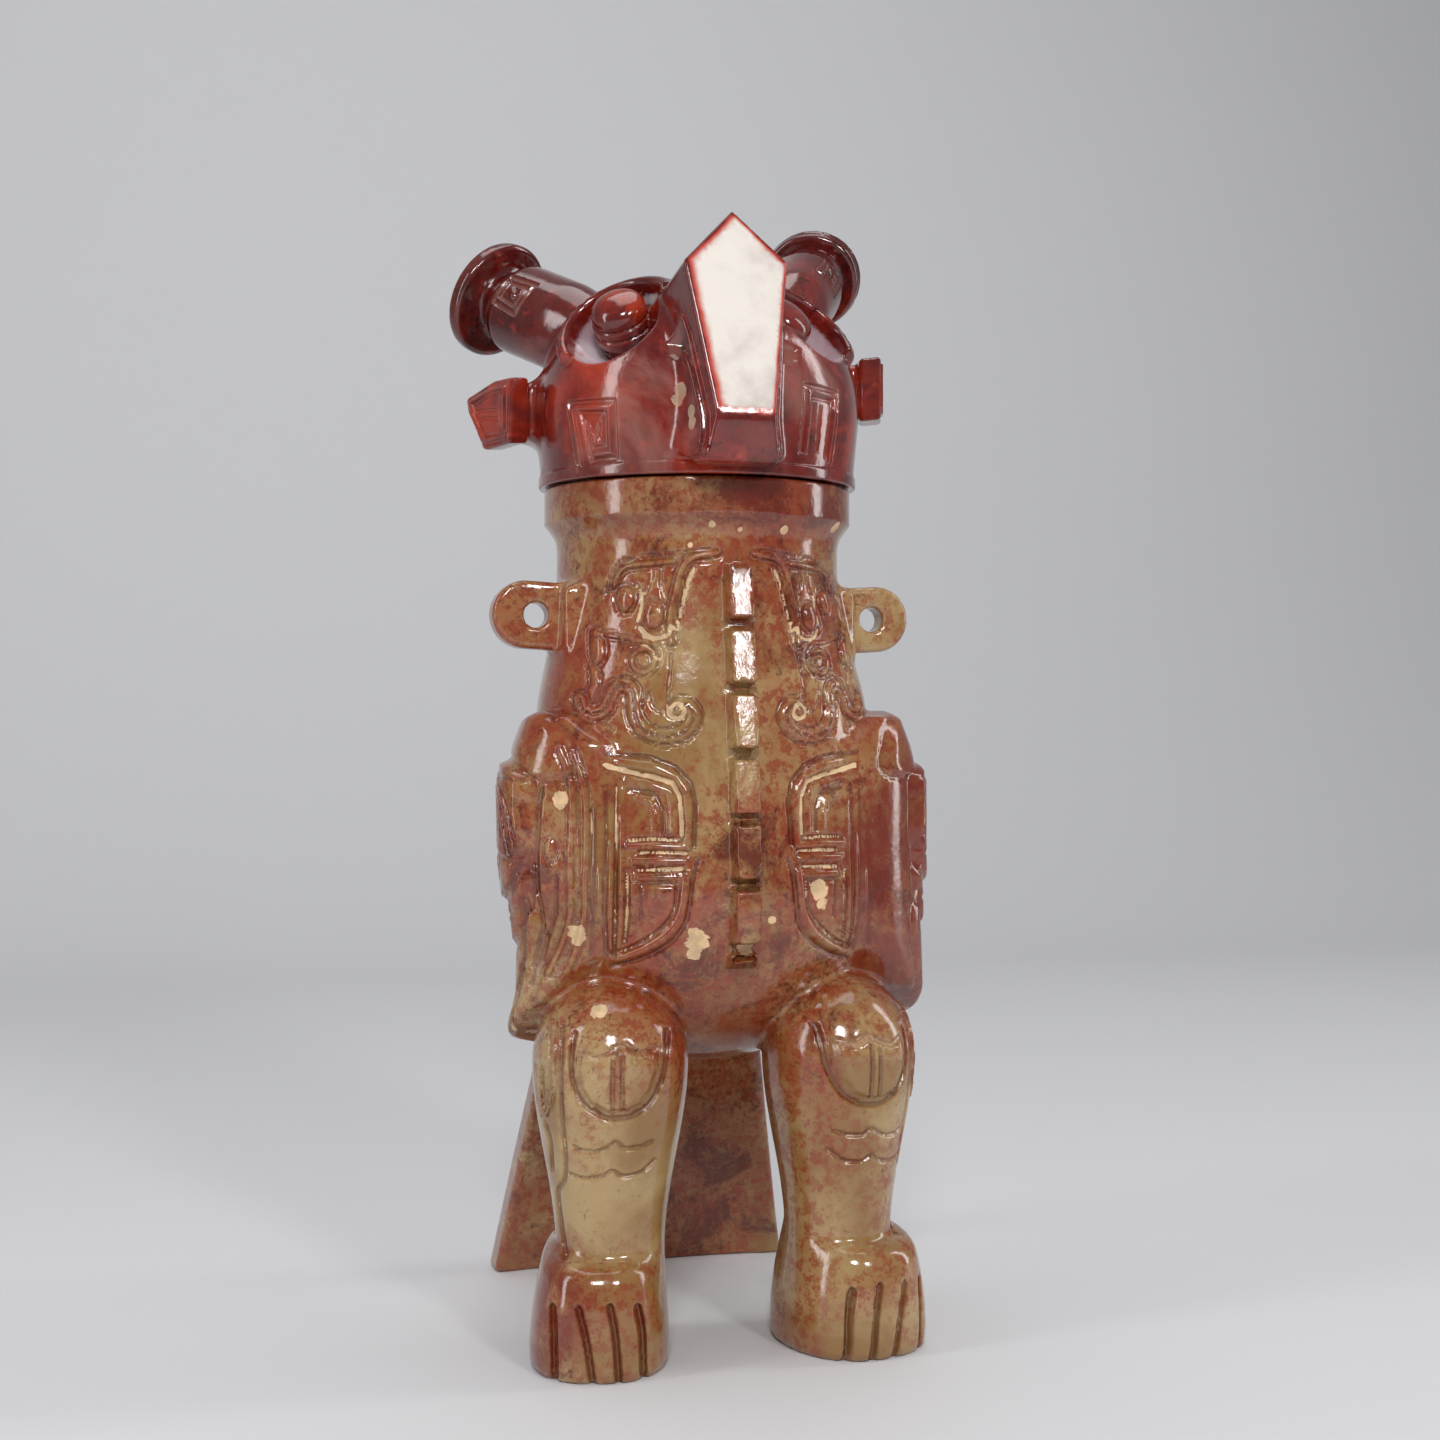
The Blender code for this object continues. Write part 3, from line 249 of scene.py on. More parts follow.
# Head's drum: distance round it from the front towards the right side, and height
DRUM_STROKES = (
    ("cut", 0.42, 0.42, 0.1, False, (33.6, 162.4, 35.4, 175.2, 24.1, 174.7, 24.2, 164.4,
     29.8, 164.2, 31.9, 173), (-12.6, 165.9, -13.4, 178.2, -22.8, 177.8, -21.5, 164.6)),
    ("ridge", 0.4, 0.3, 0.1, False, (32.6, 163.4, 34.2, 174.1, 25.2, 173.6, 25.3, 165.4,
     28.9, 165.3), (-13.7, 165.9, -14.4, 177.2, -21.8, 176.8, -20.6, 165)),
    ("cut", 0.42, 0.4, 0.1, False, (31.9, 173, 26.4, 172.6, 26.5, 166.6, 29.6, 166.5, 31, 171.6)),
    ("cut", 0.35, 0.35, 0.1, False, (29.7, 170.6, 28.6, 168.9, 29, 167.6), (27.6, 170.4,
     28.2, 168.9, 27.6, 167.7), (-17.2, 174.4, -16.9, 166.4)),
    ("cut", 0.4, 0.38, 0.1, False, (-14.9, 176, -20.6, 175.8, -19.6, 165.6)),
)
# Front of a foot: outward from its middle, and height
TOE_STROKES = (
    ("cut", 0.62, 0.8, 0.1, True, (7.9, 13, 7.7, 8, 7.5, 0.6), (3.3, 13.2, 2, 8, 0.8, 0.6),
     (-2.2, 13.6, -3.2, 8, -3.7, 0.6), (-7, 13, -7.8, 8, -8, 0.6)),
)
# Beak's sides: depth behind its face, and height
BEAK_STROKES = (
    ("pit", 0, 1.7, 0.1, False, (4.8, 189.8, 8, 187.2, 10.2, 184.6, 10, 182.6, 8.9, 181.2,
     7.2, 182.2, 5.9, 183.6, 5.4, 185.6, 4.5, 187.3)),
    ("ridge", 0.42, 0.5, 0.1, True, (4.4, 188.7, 3.3, 184.8, 2.9, 179.4, 2.6, 174.6, 2.6, 169.8,
     3.2, 166.3, 4.4, 164.1, 6.7, 164.1)),
    ("ridge", 0.36, 0.45, 0.1, True, (6, 182.3, 5, 179.9, 4.5, 176.5, 4.2, 172.4, 4.2, 168.3,
     5, 165.6)),
    ("cut", 0.36, 0.4, 0.1, True, (4.1, 184.5, 3.8, 179.4, 3.5, 174.6, 3.4, 169.8, 3.7, 166.8)),
)
# Ear's face: towards the back, and height above its middle
EAR_OUTLINE = ((8.4, 4.6), (7.6, 1.6), (1.8, -6.2), (0.6, -6.5), (-8.2, -6.4), (-8.5, 6.0),
    (-2.0, 6.3))
EAR_STROKES = (
    ("thread", 0.42, 0.35, 0.1, False, (6.4, 3.5, 5.6, 1.2, 1.2, -4.6, -5.6, -4.8, -6.6, -3.6,
     -6.7, 4.5, -2, 4.7, 6.4, 3.5)),
    ("cut", 0.4, 0.4, 0.1, True, (4.6, 1.4, 0.8, 1.2, -3.6, 0.6), (3.4, -0.4, 0.4, -0.4,
     -3.8, -1.2), (-4.6, 3.4, -4, 0.4, -4.6, -3.2)),
)
# Horn's stem: distance round it from its front, and distance along it
HORN_STROKES = (
    ("cut", 0.45, 0.45, 0.1, False, (-3.8, 16.4, 3.4, 16, 3, 23.6, -3, 23.8, -3.8, 16.4)),
    ("cut", 0.4, 0.4, 0.1, False, (-2.2, 17.6, 2, 17.4, 1.7, 22.2, -1.6, 22.4, -2.2, 17.6)),
    ("ridge", 0.6, 0.35, 0.1, False, (-0.5, 19.2, 0.5, 20.6)),
)
# Tail's back: sideways, and height
TAIL_STROKES = tuple(
    ("cut", 0.6, 0.55, 0.2, False, ((share * 11.5, 84), (share * 27.5, 6)))
    for share in (0.0, 0.36, 0.7)
) + tuple(
    ("cut", 0.5, 0.5, 0.2, True, tuple(
        (share * (11.5 + (84 - height) / 78 * 16), height + drop)
        for share, drop in ((0.0, 0.0), (0.18, -2.4), (0.36, 0.0), (0.53, -2.4), (0.7, 0.0),
                            (0.86, -2.4), (1.02, 0.0))))
    for height in (72, 58, 44, 30, 16)
)


def blend(first, second, share):
    """The value that lies share of the way from first to second."""
    return first + (second - first) * share


def step(low, high, value):
    """0 below low, 1 above high, and a smooth rise between."""
    share = np.clip((value - low) / (high - low), 0.0, 1.0)
    return share * share * (3 - 2 * share)


def join(first, second, soft):
    """Union of two fields with a fillet."""
    share = np.clip(0.5 + 0.5 * (second - first) / soft, 0.0, 1.0)
    return second + (first - second) * share - soft * share * (1 - share)


def meet(first, second, soft):
    """What two fields share, with the edge rounded."""
    return -join(-first, -second, soft)


def hump(distance, half):
    """1 on a line, falling smoothly to 0 at half the width."""
    share = np.clip(1 - (distance / half) ** 2, 0.0, 1.0)
    return share * share


def lengths(ways):
    """Length of each row of vectors."""
    return np.sqrt((ways ** 2).sum(1))


def along_and_off(places, axis):
    """How far each place lies along an axis, and the way from the axis to it."""
    along = places @ axis
    return along, places - along[:, None] * axis


def curve_through(points, closed, pieces=7):
    """Points of a smooth curve through the given points."""
    given = np.array(points, float)
    if closed:
        ring = np.vstack((given[-1:], given, given[:2]))
    else:
        ring = np.vstack((2 * given[:1] - given[1:2], given, 2 * given[-1:] - given[-2:-1]))
    t = np.linspace(0, 1, pieces, endpoint=False)[:, None]
    parts = []
    for a, b, c, d in zip(ring, ring[1:], ring[2:], ring[3:]):
        parts.append(0.5 * (2 * b + (c - a) * t + (2 * a - 5 * b + 4 * c - d) * t ** 2
                            + (3 * b - a - 3 * c + d) * t ** 3))
    if not closed:
        parts.append(given[-1:])
    return np.vstack(parts)


def outline_distance(u, v, points):
    """Signed distance to a closed outline, negative inside."""
    best = np.full(u.shape, 1e9)
    sign = np.ones(u.shape)
    count = len(points)
    for number in range(count):
        (ax, ay), (bx, by) = points[number], points[(number + 1) % count]
        ex, ey = bx - ax, by - ay
        wx, wy = u - ax, v - ay
        t = np.clip((wx * ex + wy * ey) / (ex * ex + ey * ey + 1e-12), 0.0, 1.0)
        best = np.minimum(best, (wx - t * ex) ** 2 + (wy - t * ey) ** 2)
        above, below, left = v >= ay, v < by, ex * wy > ey * wx
        sign = np.where((above & below & left) | (~above & ~below & ~left), -sign, sign)
    return sign * np.sqrt(best)


class Stencil:
    """Carving on a flat drawing: its height, how far it is cut, its clay and the nearest line."""

    CELL = 0.12         # mm between places where the drawing is known
    REACH = 3.0         # mm, the largest distance to a line that is told apart
    WINDOW = 2.4        # mm round each piece of a line in which that distance is worked out
    STRENGTH = 1.3      # all the carving but the bosses is higher and deeper than its row says

    def __init__(self, rows):
        strokes = [(*row[:5], np.reshape(line, (-1, 2))) for row in rows for line in row[5:]]
        corners = np.vstack([stroke[5] for stroke in strokes])
        self.low = corners.min(0) - self.REACH - 1
        size = np.ceil((corners.max(0) + self.REACH + 1 - self.low) / self.CELL).astype(int)
        self.rise = np.zeros(size)
        self.cut = np.zeros(size)
        self.clay = np.zeros(size)
        self.near = np.full(size, self.REACH)
        for stroke in strokes:
            self.draw(*stroke)
        self.height = self.rise - self.cut

    def places(self, shape, low):
        """Where the places of a window lie, on the drawing's two axes."""
        return [(k + low[axis]) * self.CELL + self.low[axis]
                for axis, k in enumerate(np.indices(shape).astype(float))]

    def lines(self, points, closed):
        """Distance to a line, and the window of the drawing that it covers."""
        low = np.maximum(((points.min(0) - self.REACH - self.low) / self.CELL).astype(int), 0)
        high = ((points.max(0) + self.REACH - self.low) / self.CELL).astype(int) + 1
        window = (slice(low[0], high[0]), slice(low[1], high[1]))
        found = np.full(self.rise[window].shape, self.REACH)
        ends = np.vstack((points, points[:1])) if closed else points
        for a, b in zip(ends, ends[1:]):
            start = ((np.minimum(a, b) - self.WINDOW - self.low) / self.CELL).astype(int) - low
            start = np.maximum(start, 0)
            stop = ((np.maximum(a, b) + self.WINDOW - self.low) / self.CELL).astype(int) + 1 - low
            part = found[start[0]:stop[0], start[1]:stop[1]]
            u, v = self.places(part.shape, start + low)
            e = b - a
            t = np.clip(((u - a[0]) * e[0] + (v - a[1]) * e[1]) / (e @ e + 1e-12), 0, 1)
            np.minimum(part, np.hypot(u - a[0] - t * e[0], v - a[1] - t * e[1]), out=part)
        return found, window, low

    def draw(self, kind, half, height, clay, smooth, points):
        """Put one line into the drawing. A closed one is a ring or an area."""
        closed = kind in ("ring", "knob", "boss", "plate", "pit")
        height = height * self.STRENGTH
        points = curve_through(points, closed) if smooth else np.array(points, float)
        found, window, low = self.lines(points, closed)
        rise = np.zeros(found.shape)
        cut = np.zeros(found.shape)
        if kind == "cut":
            cut = height * hump(found, half * 1.5)
            filled = hump(found, half * 1.5)
        elif kind == "ridge":
            rise = height * np.sqrt(hump(found, half * 1.35))
            filled = 0.0
        elif kind in ("thread", "band", "ring"):
            rise = height * np.sqrt(hump(found, half * 1.15))
            flank = abs(found - half * 1.15 - 0.25)
            cut = 0.6 * height * hump(flank, 0.55)
            filled = hump(flank, 0.7)
            if kind == "band":
                cut = np.maximum(cut, 0.75 * height * hump(found, 0.42))
                filled = np.maximum(filled, 0.8 * hump(found, 0.5))
        else:
            inside = -outline_distance(*self.places(found.shape, low), points)
            cut = 0.4 * min(height, 0.8) * hump(abs(inside + 0.35), 0.6)
            if kind == "pit":
                cut = height * step(-0.1, 1.2, inside)
            elif kind == "knob":
                share = np.clip(inside / 1.6, 0, 1)
                rise = height * np.sqrt(share * (2 - share))
            elif kind == "plate":
                rise = height * step(0.0, 0.8, inside)
            else:
                rise = height / self.STRENGTH * step(-0.2, 1.2, inside)
            filled = hump(abs(inside + 0.4), 0.8)
            found = np.where(inside > 2.2, np.maximum(found, 1.5), found)
        np.maximum(self.rise[window], rise, out=self.rise[window])
        np.maximum(self.cut[window], cut, out=self.cut[window])
        np.maximum(self.clay[window], clay * filled, out=self.clay[window])
        np.minimum(self.near[window], found, out=self.near[window])

    def read(self, name, u, v, outside=0.0):
        """The value of one layer at places on the drawing."""
        layer = getattr(self, name)
        x = (u - self.low[0]) / self.CELL
        y = (v - self.low[1]) / self.CELL
        fits = (x >= 0) & (y >= 0) & (x < layer.shape[0] - 1.001) & (y < layer.shape[1] - 1.001)
        x, y = np.where(fits, x, 0.0), np.where(fits, y, 0.0)
        i, j = x.astype(int), y.astype(int)
        x, y = x - i, y - j
        value = ((layer[i, j] * (1 - x) + layer[i + 1, j] * x) * (1 - y)
                 + (layer[i, j + 1] * (1 - x) + layer[i + 1, j + 1] * x) * y)
        return np.where(fits, value, outside)


breast_drawing = Stencil(BREAST_STROKES)
leg_drawing = Stencil(LEG_STROKES)
toe_drawing = Stencil(TOE_STROKES)
wing_drawing = Stencil(WING_STROKES)
wing_face_drawing = Stencil(WING_FACE_STROKES)
drum_drawing = Stencil(DRUM_STROKES)
beak_drawing = Stencil(BEAK_STROKES)
ear_drawing = Stencil(EAR_STROKES)
horn_drawing = Stencil(HORN_STROKES)
tail_drawing = Stencil(TAIL_STROKES)


class Marks:
    """What the carving leaves at each point: how far it is cut, its clay and the nearest line."""

    def __init__(self, count):
        self.cut = np.zeros(count)
        self.clay = np.zeros(count)
        self.near = np.full(count, Stencil.REACH)
        # painted reflection of a softbox on the beak's flat face
        self.beak_reflection = np.zeros(count)
        # painted reflection of a softbox in the eyes' bowls
        self.haze_and_bowl_reflection = np.zeros(count)

    def add(self, drawing, u, v, mask):
        self.cut = np.maximum(self.cut, drawing.read("cut", u, v) * mask)
        self.clay = np.maximum(self.clay, drawing.read("clay", u, v) * mask)
        near = drawing.read("near", u, v, Stencil.REACH)
        self.near = np.minimum(self.near, np.where(mask > 0.3, near, Stencil.REACH))


def carved(field, drawing, u, v, mask, marks, where=None):
    """A field with a drawing carved into it where the mask is 1."""
    if marks is not None:
        marks.add(drawing, u, v, mask if where is None else mask * where)
    return field - drawing.read("height", u, v) * mask


def body_profile():
    """Half width, front, back and forward shift of the body at each half millimetre of height."""
    heights = np.arange(BELLY_HEIGHT, SEAM + 3, 0.5)
    rows = []
    for height in heights:
        if height <= SHOULDER_HEIGHT:
            ease = ((height - BELLY_HEIGHT) / (SHOULDER_HEIGHT - BELLY_HEIGHT)) ** 1.4
            rows.append((blend(BELLY_WIDTH, SHOULDER_WIDTH, ease),
                         blend(BELLY_FRONT, SHOULDER_FRONT, ease),
                         blend(BELLY_BACK, SHOULDER_BACK, ease),
                         blend(BODY_FORWARD, BODY_FORWARD / 2, ease)))
        else:
            ease = min((height - SHOULDER_HEIGHT) / (NECK_FOOT - SHOULDER_HEIGHT), 1.0) ** 0.8
            rows.append((blend(SHOULDER_WIDTH, NECK_RADIUS, ease),
                         blend(SHOULDER_FRONT, NECK_RADIUS, ease),
                         blend(SHOULDER_BACK, NECK_RADIUS, ease),
                         blend(BODY_FORWARD / 2, 0.0, ease)))
    rows = np.array(rows)
    window = np.hanning(19)[1:-1]
    window /= window.sum()
    padded = np.vstack((np.repeat(rows[:1], 8, 0), rows, np.repeat(rows[-1:], 8, 0)))
    smooth = np.stack([np.convolve(padded[:, k], window, "valid") for k in range(4)], 1)
    return heights, smooth


PROFILE_HEIGHTS, PROFILE = body_profile()


def body_field(m, y, z):
    """The body without its carving, as in the CAD source's rings."""
    wide, front, back, forward = (np.interp(z, PROFILE_HEIGHTS, PROFILE[:, k]) for k in range(4))
    drop = np.clip((BELLY_HEIGHT - z) / (BELLY_HEIGHT - UNDERSIDE), 0.0, None)
    y = y + forward * np.sqrt(np.clip(1 - drop ** 2, 0.01, 1.0))
    reach = np.where(y < 0, front - forward, back + forward)
    return (np.sqrt((m / wide) ** 2 + (y / reach) ** 2 + drop ** 2) - 1) * wide


def wing_field(x, y, z):
    """The bulk that a wing is cut from, which differs a little from side to side."""
    levels = WING_LEVELS[:, 0]
    wide = np.where(x < 0, np.interp(z, levels, WING_LEVELS[:, 1]),
                    np.interp(z, levels, WING_LEVELS[:, 2]))
    y = y + WING_FORWARD
    reach = np.where(y < 0, WING_FRONT, np.interp(z, levels, WING_LEVELS[:, 3]))
    return (np.sqrt((x / wide) ** 2 + (y / reach) ** 2) - 1) * wide


def vessel_field(p, marks=None):
    """The vessel's distance field, with its carving."""
    x, y, z = p[:, 0], p[:, 1], p[:, 2]
    m = -abs(x)
    across = m * COS_TURN - y * SIN_TURN
    body = body_field(m, y, z)
    front = step(2.0, 9.0, -y - 4.0) * step(64.0, 68.0, z)
    front_only = front * (across < 7.2)
    body = carved(body, breast_drawing, across, z, front_only, marks, body < 2.0)

    # neck and collar
    radius = np.hypot(x, y)
    slope = np.interp(z, (SEAM - COLLAR_TALL - 3.0, SEAM - COLLAR_TALL + 0.8), (3.0, 0.0))
    collar = meet((radius - COLLAR_RADIUS + slope) * 0.8,
                  abs(z - SEAM + COLLAR_TALL / 2 + 1.5) - COLLAR_TALL / 2 - 1.5, 0.7)
    body = meet(body, z - SEAM + 0.4, 0.3)
    field = join(body, collar, 1.2)

    # ridge of blocks down the breast
    pitch = RIDGE_TALL + RIDGE_GAP
    number = np.clip(np.floor((RIDGE_TOP + RIDGE_GAP / 2 - z) / pitch), 0, RIDGE_BLOCKS - 1)
    tall = np.where(number == RIDGE_BLOCKS - 1, RIDGE_LAST_TALL, RIDGE_TALL)
    top = RIDGE_TOP - number * pitch
    drop = np.clip((BELLY_HEIGHT - z) / (BELLY_HEIGHT - UNDERSIDE), 0.0, 0.9)
    face = np.interp(z, PROFILE_HEIGHTS, PROFILE[:, 1]) * np.sqrt(1 - drop ** 2)
    stand = -y - face
    narrow = np.where(number == 0, 0.35 * step(top - 5, top, z), 0.0)
    half = RIDGE_HALF * (1 - 0.22 * narrow) + 0.16 * np.clip(RIDGE_STAND - stand, -1, 4)
    out = RIDGE_STAND - 0.35 + 0.75 * (top - z) / tall
    ridge = meet(abs(x) - half, stand - out, 0.35)
    ridge = meet(ridge, abs(z - top + tall / 2) - tall / 2 + 0.06 * np.clip(stand, 0, 4), 0.3)
    ridge = np.where(y < 0, ridge, 9.0)
    field = join(field, ridge, 0.35)

    # lugs
    tip = -LUG_OUT - LUG_OVERREACH - np.where(x < 0, RIGHT_LUG_LONGER, 0.0)
    along = np.clip(m, tip, -23.0)
    level = LUG_HEIGHT - 0.06 * (along + LUG_OUT)
    lug = meet(np.hypot(m - along, z - level) - LUG_RADIUS, abs(y + LUG_FORWARD) - LUG_HALF, 1.3)
    pad = meet(meet(abs(m + 25.6) - 3.0, abs(y + LUG_FORWARD + 1.6) - 5.0, 1.5),
               abs(z - LUG_HEIGHT + 0.8) - 6.6, 2.0)
    field = join(field, pad, 2.2)
    field = join(field, lug, 1.2)
    hole = LUG_HOLE - np.hypot(m + LUG_OUT, z - LUG_HEIGHT)
    field = meet(field, np.where(abs(y + LUG_FORWARD) < 6, hole, -9.0), 0.9)

    # wings
    grown = wing_field(x, y, z)
    edge = outline_distance(y, z, WING_OUTLINE)
    side = step(8.0, 14.0, -m)
    ahead_face = step(14.0, 16.0, -y) * side * step(-34.0, -31.0, across) * (x < 0)
    grown = carved(grown, wing_face_drawing, across, z, ahead_face, marks, abs(grown) < 1.5)
    grown = carved(grown, wing_drawing, y, z, side, marks, (edge < 0.5) & (grown < 4))
    wing = meet(meet(grown, edge, 1.7), 8.0 + m, 0.5)
    field = join(field, wing, 0.8)

    # legs and feet
    rise = np.clip((z - ANKLE_HEIGHT) / (THIGH_HEIGHT - ANKLE_HEIGHT), 0, 1)
    swell = rise * rise * (3 - 2 * rise)
    ball = np.clip((z - THIGH_HEIGHT) / (THIGH_TOP - THIGH_HEIGHT), 0, None)
    wide = blend(ANKLE_WIDTH, THIGH_WIDTH, swell)
    deep = blend(ANKLE_DEPTH, THIGH_DEPTH, swell)
    leg = np.sqrt(((m + LEG_OUT) / wide) ** 2 + ((y + LEG_FORWARD) / deep) ** 2 + ball ** 2)
    leg = (leg - 1) * wide
    leg = np.maximum(leg, 6.0 - z)
    way = np.array((-math.sin(FOOT_SPLAY), -math.cos(FOOT_SPLAY)))
    ahead = (m + FOOT_OUT) * way[0] + (y + FOOT_FORWARD) * way[1]
    outward = (m + FOOT_OUT) * way[1] - (y + FOOT_FORWARD) * way[0]
    toe_mask = step(5.0, 8.0, ahead)
    broad = np.interp(z, *FOOT_WIDTHS) * FOOT_HALF * np.where(x > 0, LEFT_FOOT_BROADER, 1.0)
    long = np.interp(z, *FOOT_LENGTHS) * FOOT_LONG
    foot = abs(outward / broad) ** FOOT_POWER + abs(ahead / long) ** FOOT_POWER
    foot = foot ** (1 / FOOT_POWER)
    foot = (foot - 1) * FOOT_HALF * 0.95
    foot = meet(foot, (z - FOOT_TOP + 0.16 * (ahead - 8)) * 0.97, 3.0)
    foot = carved(foot, toe_drawing, outward, z, toe_mask, marks, foot < 1.2)
    leg = join(leg, foot, 1.6)
    leg_front = step(14.0, 19.0, -y) * step(8.0, 9.0, -m)
    leg = carved(leg, leg_drawing, across, z, leg_front, marks, leg < 1.5)
    field = join(field, leg, 1.6)

    # fan tail
    share = np.clip(z / TAIL_ROOT_HEIGHT, -0.1, 1.2)
    half = blend(TAIL_FOOT_HALF, TAIL_ROOT_HALF, share)
    back = blend(TAIL_REACH, TAIL_ROOT_REACH, np.sign(share) * abs(share) ** 1.15)
    back = back - 1.5 * step(0.45, 1.0, abs(m) / half)
    slab = abs(y - back + TAIL_THICK / 2) - TAIL_THICK / 2
    tail_mask = step(-1.5, 0.5, y - back + 1.5)
    slab = carved(slab, tail_drawing, -m, z, tail_mask, marks, slab < 1.0)
    tail = meet(meet(slab * 0.97, (-m - half) * 0.98, 1.6), z - TAIL_ROOT_HEIGHT, 3.0)
    field = join(field, tail, 2.2)

    field = meet(field, 0.03 - z, 0.5)
    field = meet(field, z - SEAM, 0.12)

    # hollow
    belly = min(BELLY_WIDTH, BELLY_FRONT, BELLY_BACK) - WALL
    shoulder = SHOULDER_FRONT - WALL
    bore = np.interp(z, (HOLLOW_FLOOR, BELLY_HEIGHT, BELLY_HEIGHT + 8, SHOULDER_HEIGHT,
                         SEAM - MOUTH_DEPTH, SEAM + 5),
                     (belly, belly, belly, shoulder, MOUTH_RADIUS, MOUTH_RADIUS))
    drop = np.clip((BELLY_HEIGHT - z) / (BELLY_HEIGHT - HOLLOW_FLOOR), 0, None)
    hollow = (np.sqrt((radius / bore) ** 2 + drop ** 2) - 1) * bore
    return meet(field, -hollow, 0.6)


EYE_DIRECTION = np.array((-math.sin(EYE_TURN) * math.cos(EYE_RAISE),
                          -math.cos(EYE_TURN) * math.cos(EYE_RAISE), math.sin(EYE_RAISE)))


def lid_field(p, marks=None):
    """The head's distance field, with its carving and the plug under it."""
    x, y, z = p[:, 0], p[:, 1], p[:, 2]
    radius = np.hypot(x, y)
    rim = SEAM + LID_GAP

    # dome
    rise = np.clip((z - DOME_SPRING) / (CROWN - DOME_SPRING), 0, None)
    wide = DOME_RADIUS - 0.095 * np.clip(DOME_SPRING - z, 0, 15)
    dome = (((radius / wide) ** DOME_POWER + rise ** DOME_POWER) ** (1 / DOME_POWER) - 1) * 30.0
    dome = np.where((radius < 8) & (rise > 0), np.maximum(dome, (rise - 1) * 30), dome)
    turn = np.arctan2(-x, -y) * DOME_RADIUS
    drum = step(1.5, 4.0, 31 - abs(dome)) * (y < 6)
    dome = carved(dome, drum_drawing, turn, z, drum * (dome < 3), marks, abs(dome) < 1.5)
    field = meet(dome, rim + 0.2 - z, 0.3)

    # eyes: a bowl with a notched brow, and a stub with a ringed cap
    ex = -abs(x - EYE_SHIFT)
    at = np.stack((ex + EYE_OUT, y + EYE_FORWARD, z - EYE_HEIGHT), 1)
    along, offset = along_and_off(at, EYE_DIRECTION)
    out = lengths(offset)
    bowl_at = at - EYE_DIRECTION * SOCKET_STAND - SOCKET_OUT
    bowl_along, bowl_off = along_and_off(bowl_at, EYE_DIRECTION)
    bowl = SOCKET_RADIUS - lengths(bowl_at)
    up = np.array((0.0, 0.0, 1.0)) - EYE_DIRECTION * EYE_DIRECTION[2]
    up /= np.linalg.norm(up)
    aside = np.cross(EYE_DIRECTION, up)
    angle = np.arctan2(bowl_off @ aside, bowl_off @ up)
    notch = NOTCH_DEEP * (0.5 + 0.5 * np.cos(angle * BROW_NOTCHES)) ** 2
    notch = notch * step(0.0, 0.4, np.sin(angle - 0.35))
    brow = np.hypot(bowl + 1.35, dome - 0.15) - 1.75 + notch * step(0.6, 1.6, -bowl)
    brow = brow + 6 * step(0.0, 0.35, -np.cos(angle - BROW_MIDDLE))
    brow = np.where(bowl_along > -12, brow, 9.0)
    field = join(field, brow, 0.5)
    field = meet(field, bowl, 0.6)
    bowl_reach = bowl + 3.4

    # beak
    bx = x - HEAD_SHIFT + 0.25
    lean = math.tan(BEAK_LEAN)
    depth = (y + BEAK_REACH - (z - BEAK_FOOT) * lean) * math.cos(BEAK_LEAN)
    back = np.clip(depth, 0, BEAK_DEPTH + 8)
    half = np.interp(z, (BEAK_FOOT, BEAK_CORNER + 12),
                     (BEAK_FOOT_HALF, BEAK_CORNER_HALF + 12 * 4.3 / 28.5))
    spread = np.interp(z, (BEAK_FOOT, BEAK_CORNER), (BEAK_SPREAD, BEAK_SPREAD / 3)) / BEAK_DEPTH
    sides = (abs(bx) - half - spread * back) * 0.96
    side_mask = step(1.0, 3.0, abs(bx)) * step(0.3, 0.9, depth)
    roof = (z - BEAK_APEX - 0.04 * bx + abs(bx) * 9.6 / 9.7 + BEAK_DROP / BEAK_DEPTH * back) * 0.7
    lip = (-y - BEAK_REACH + (BEAK_FOOT - z) * 2.2 / BEAK_LIP) * 0.9
    floor = (BEAK_FOOT - BEAK_LIP - z + 0.5 * np.clip(y + BEAK_REACH - 6.0, 0, None)) * 0.9
    beak = meet(meet(sides, roof, 0.7), -depth, 0.55)
    beak = meet(meet(beak, lip, 0.7), floor, 1.6)
    beak = meet(beak, depth - BEAK_DEPTH - 1, 1.0)
    field = join(field, beak, 2.0)
    side_mask = side_mask * step(4.5, 2.5, sides) * step(-3.2, -2.2, sides) * step(-0.2, -1.0, lip)
    field = carved(field, beak_drawing, back, z, side_mask, marks, abs(field) < 3)
    if marks is not None:
        # painted reflection of a softbox on the beak's flat face, inside its edges
        edge = np.minimum((half - abs(bx)) * np.where(bx < 0, 0.7, 1.6),
                          (BEAK_APEX - z - abs(bx) * 1.01) * np.where(bx < 0, 0.6, 1.1))
        edge = np.minimum(edge, (z - BEAK_FOOT) * 0.9)
        marks.beak_reflection = step(0.1, 2.0, edge) * step(-0.8, -0.2, -abs(depth))
        # painted reflection of a softbox on the floors of the eyes' bowls, kept off the brows and
        # upper parts
        upper = step(-0.3, 0.5, np.cos(angle - BROW_MIDDLE))
        marks.haze_and_bowl_reflection = step(-0.8, -0.3, -abs(bowl)) * step(4.8, 5.8, out)
        marks.haze_and_bowl_reflection *= step(-0.1, 0.5, -dome - 1.2 * upper)
        fine = (abs(brow) < 1.2) | ((out < 8) & (abs(along + 4) < 5))
        marks.near = np.where(fine, np.minimum(marks.near, 0.9), marks.near)

    # eye stubs
    shaft = np.interp(along, *STUB)
    stub = meet((out - shaft) * 0.9, (along + 0.05 * out ** 2 - 0.3) * 0.9, 1.6)
    stub = np.where(along > -17, stub, 9.0)
    field = join(field, stub, 0.7)

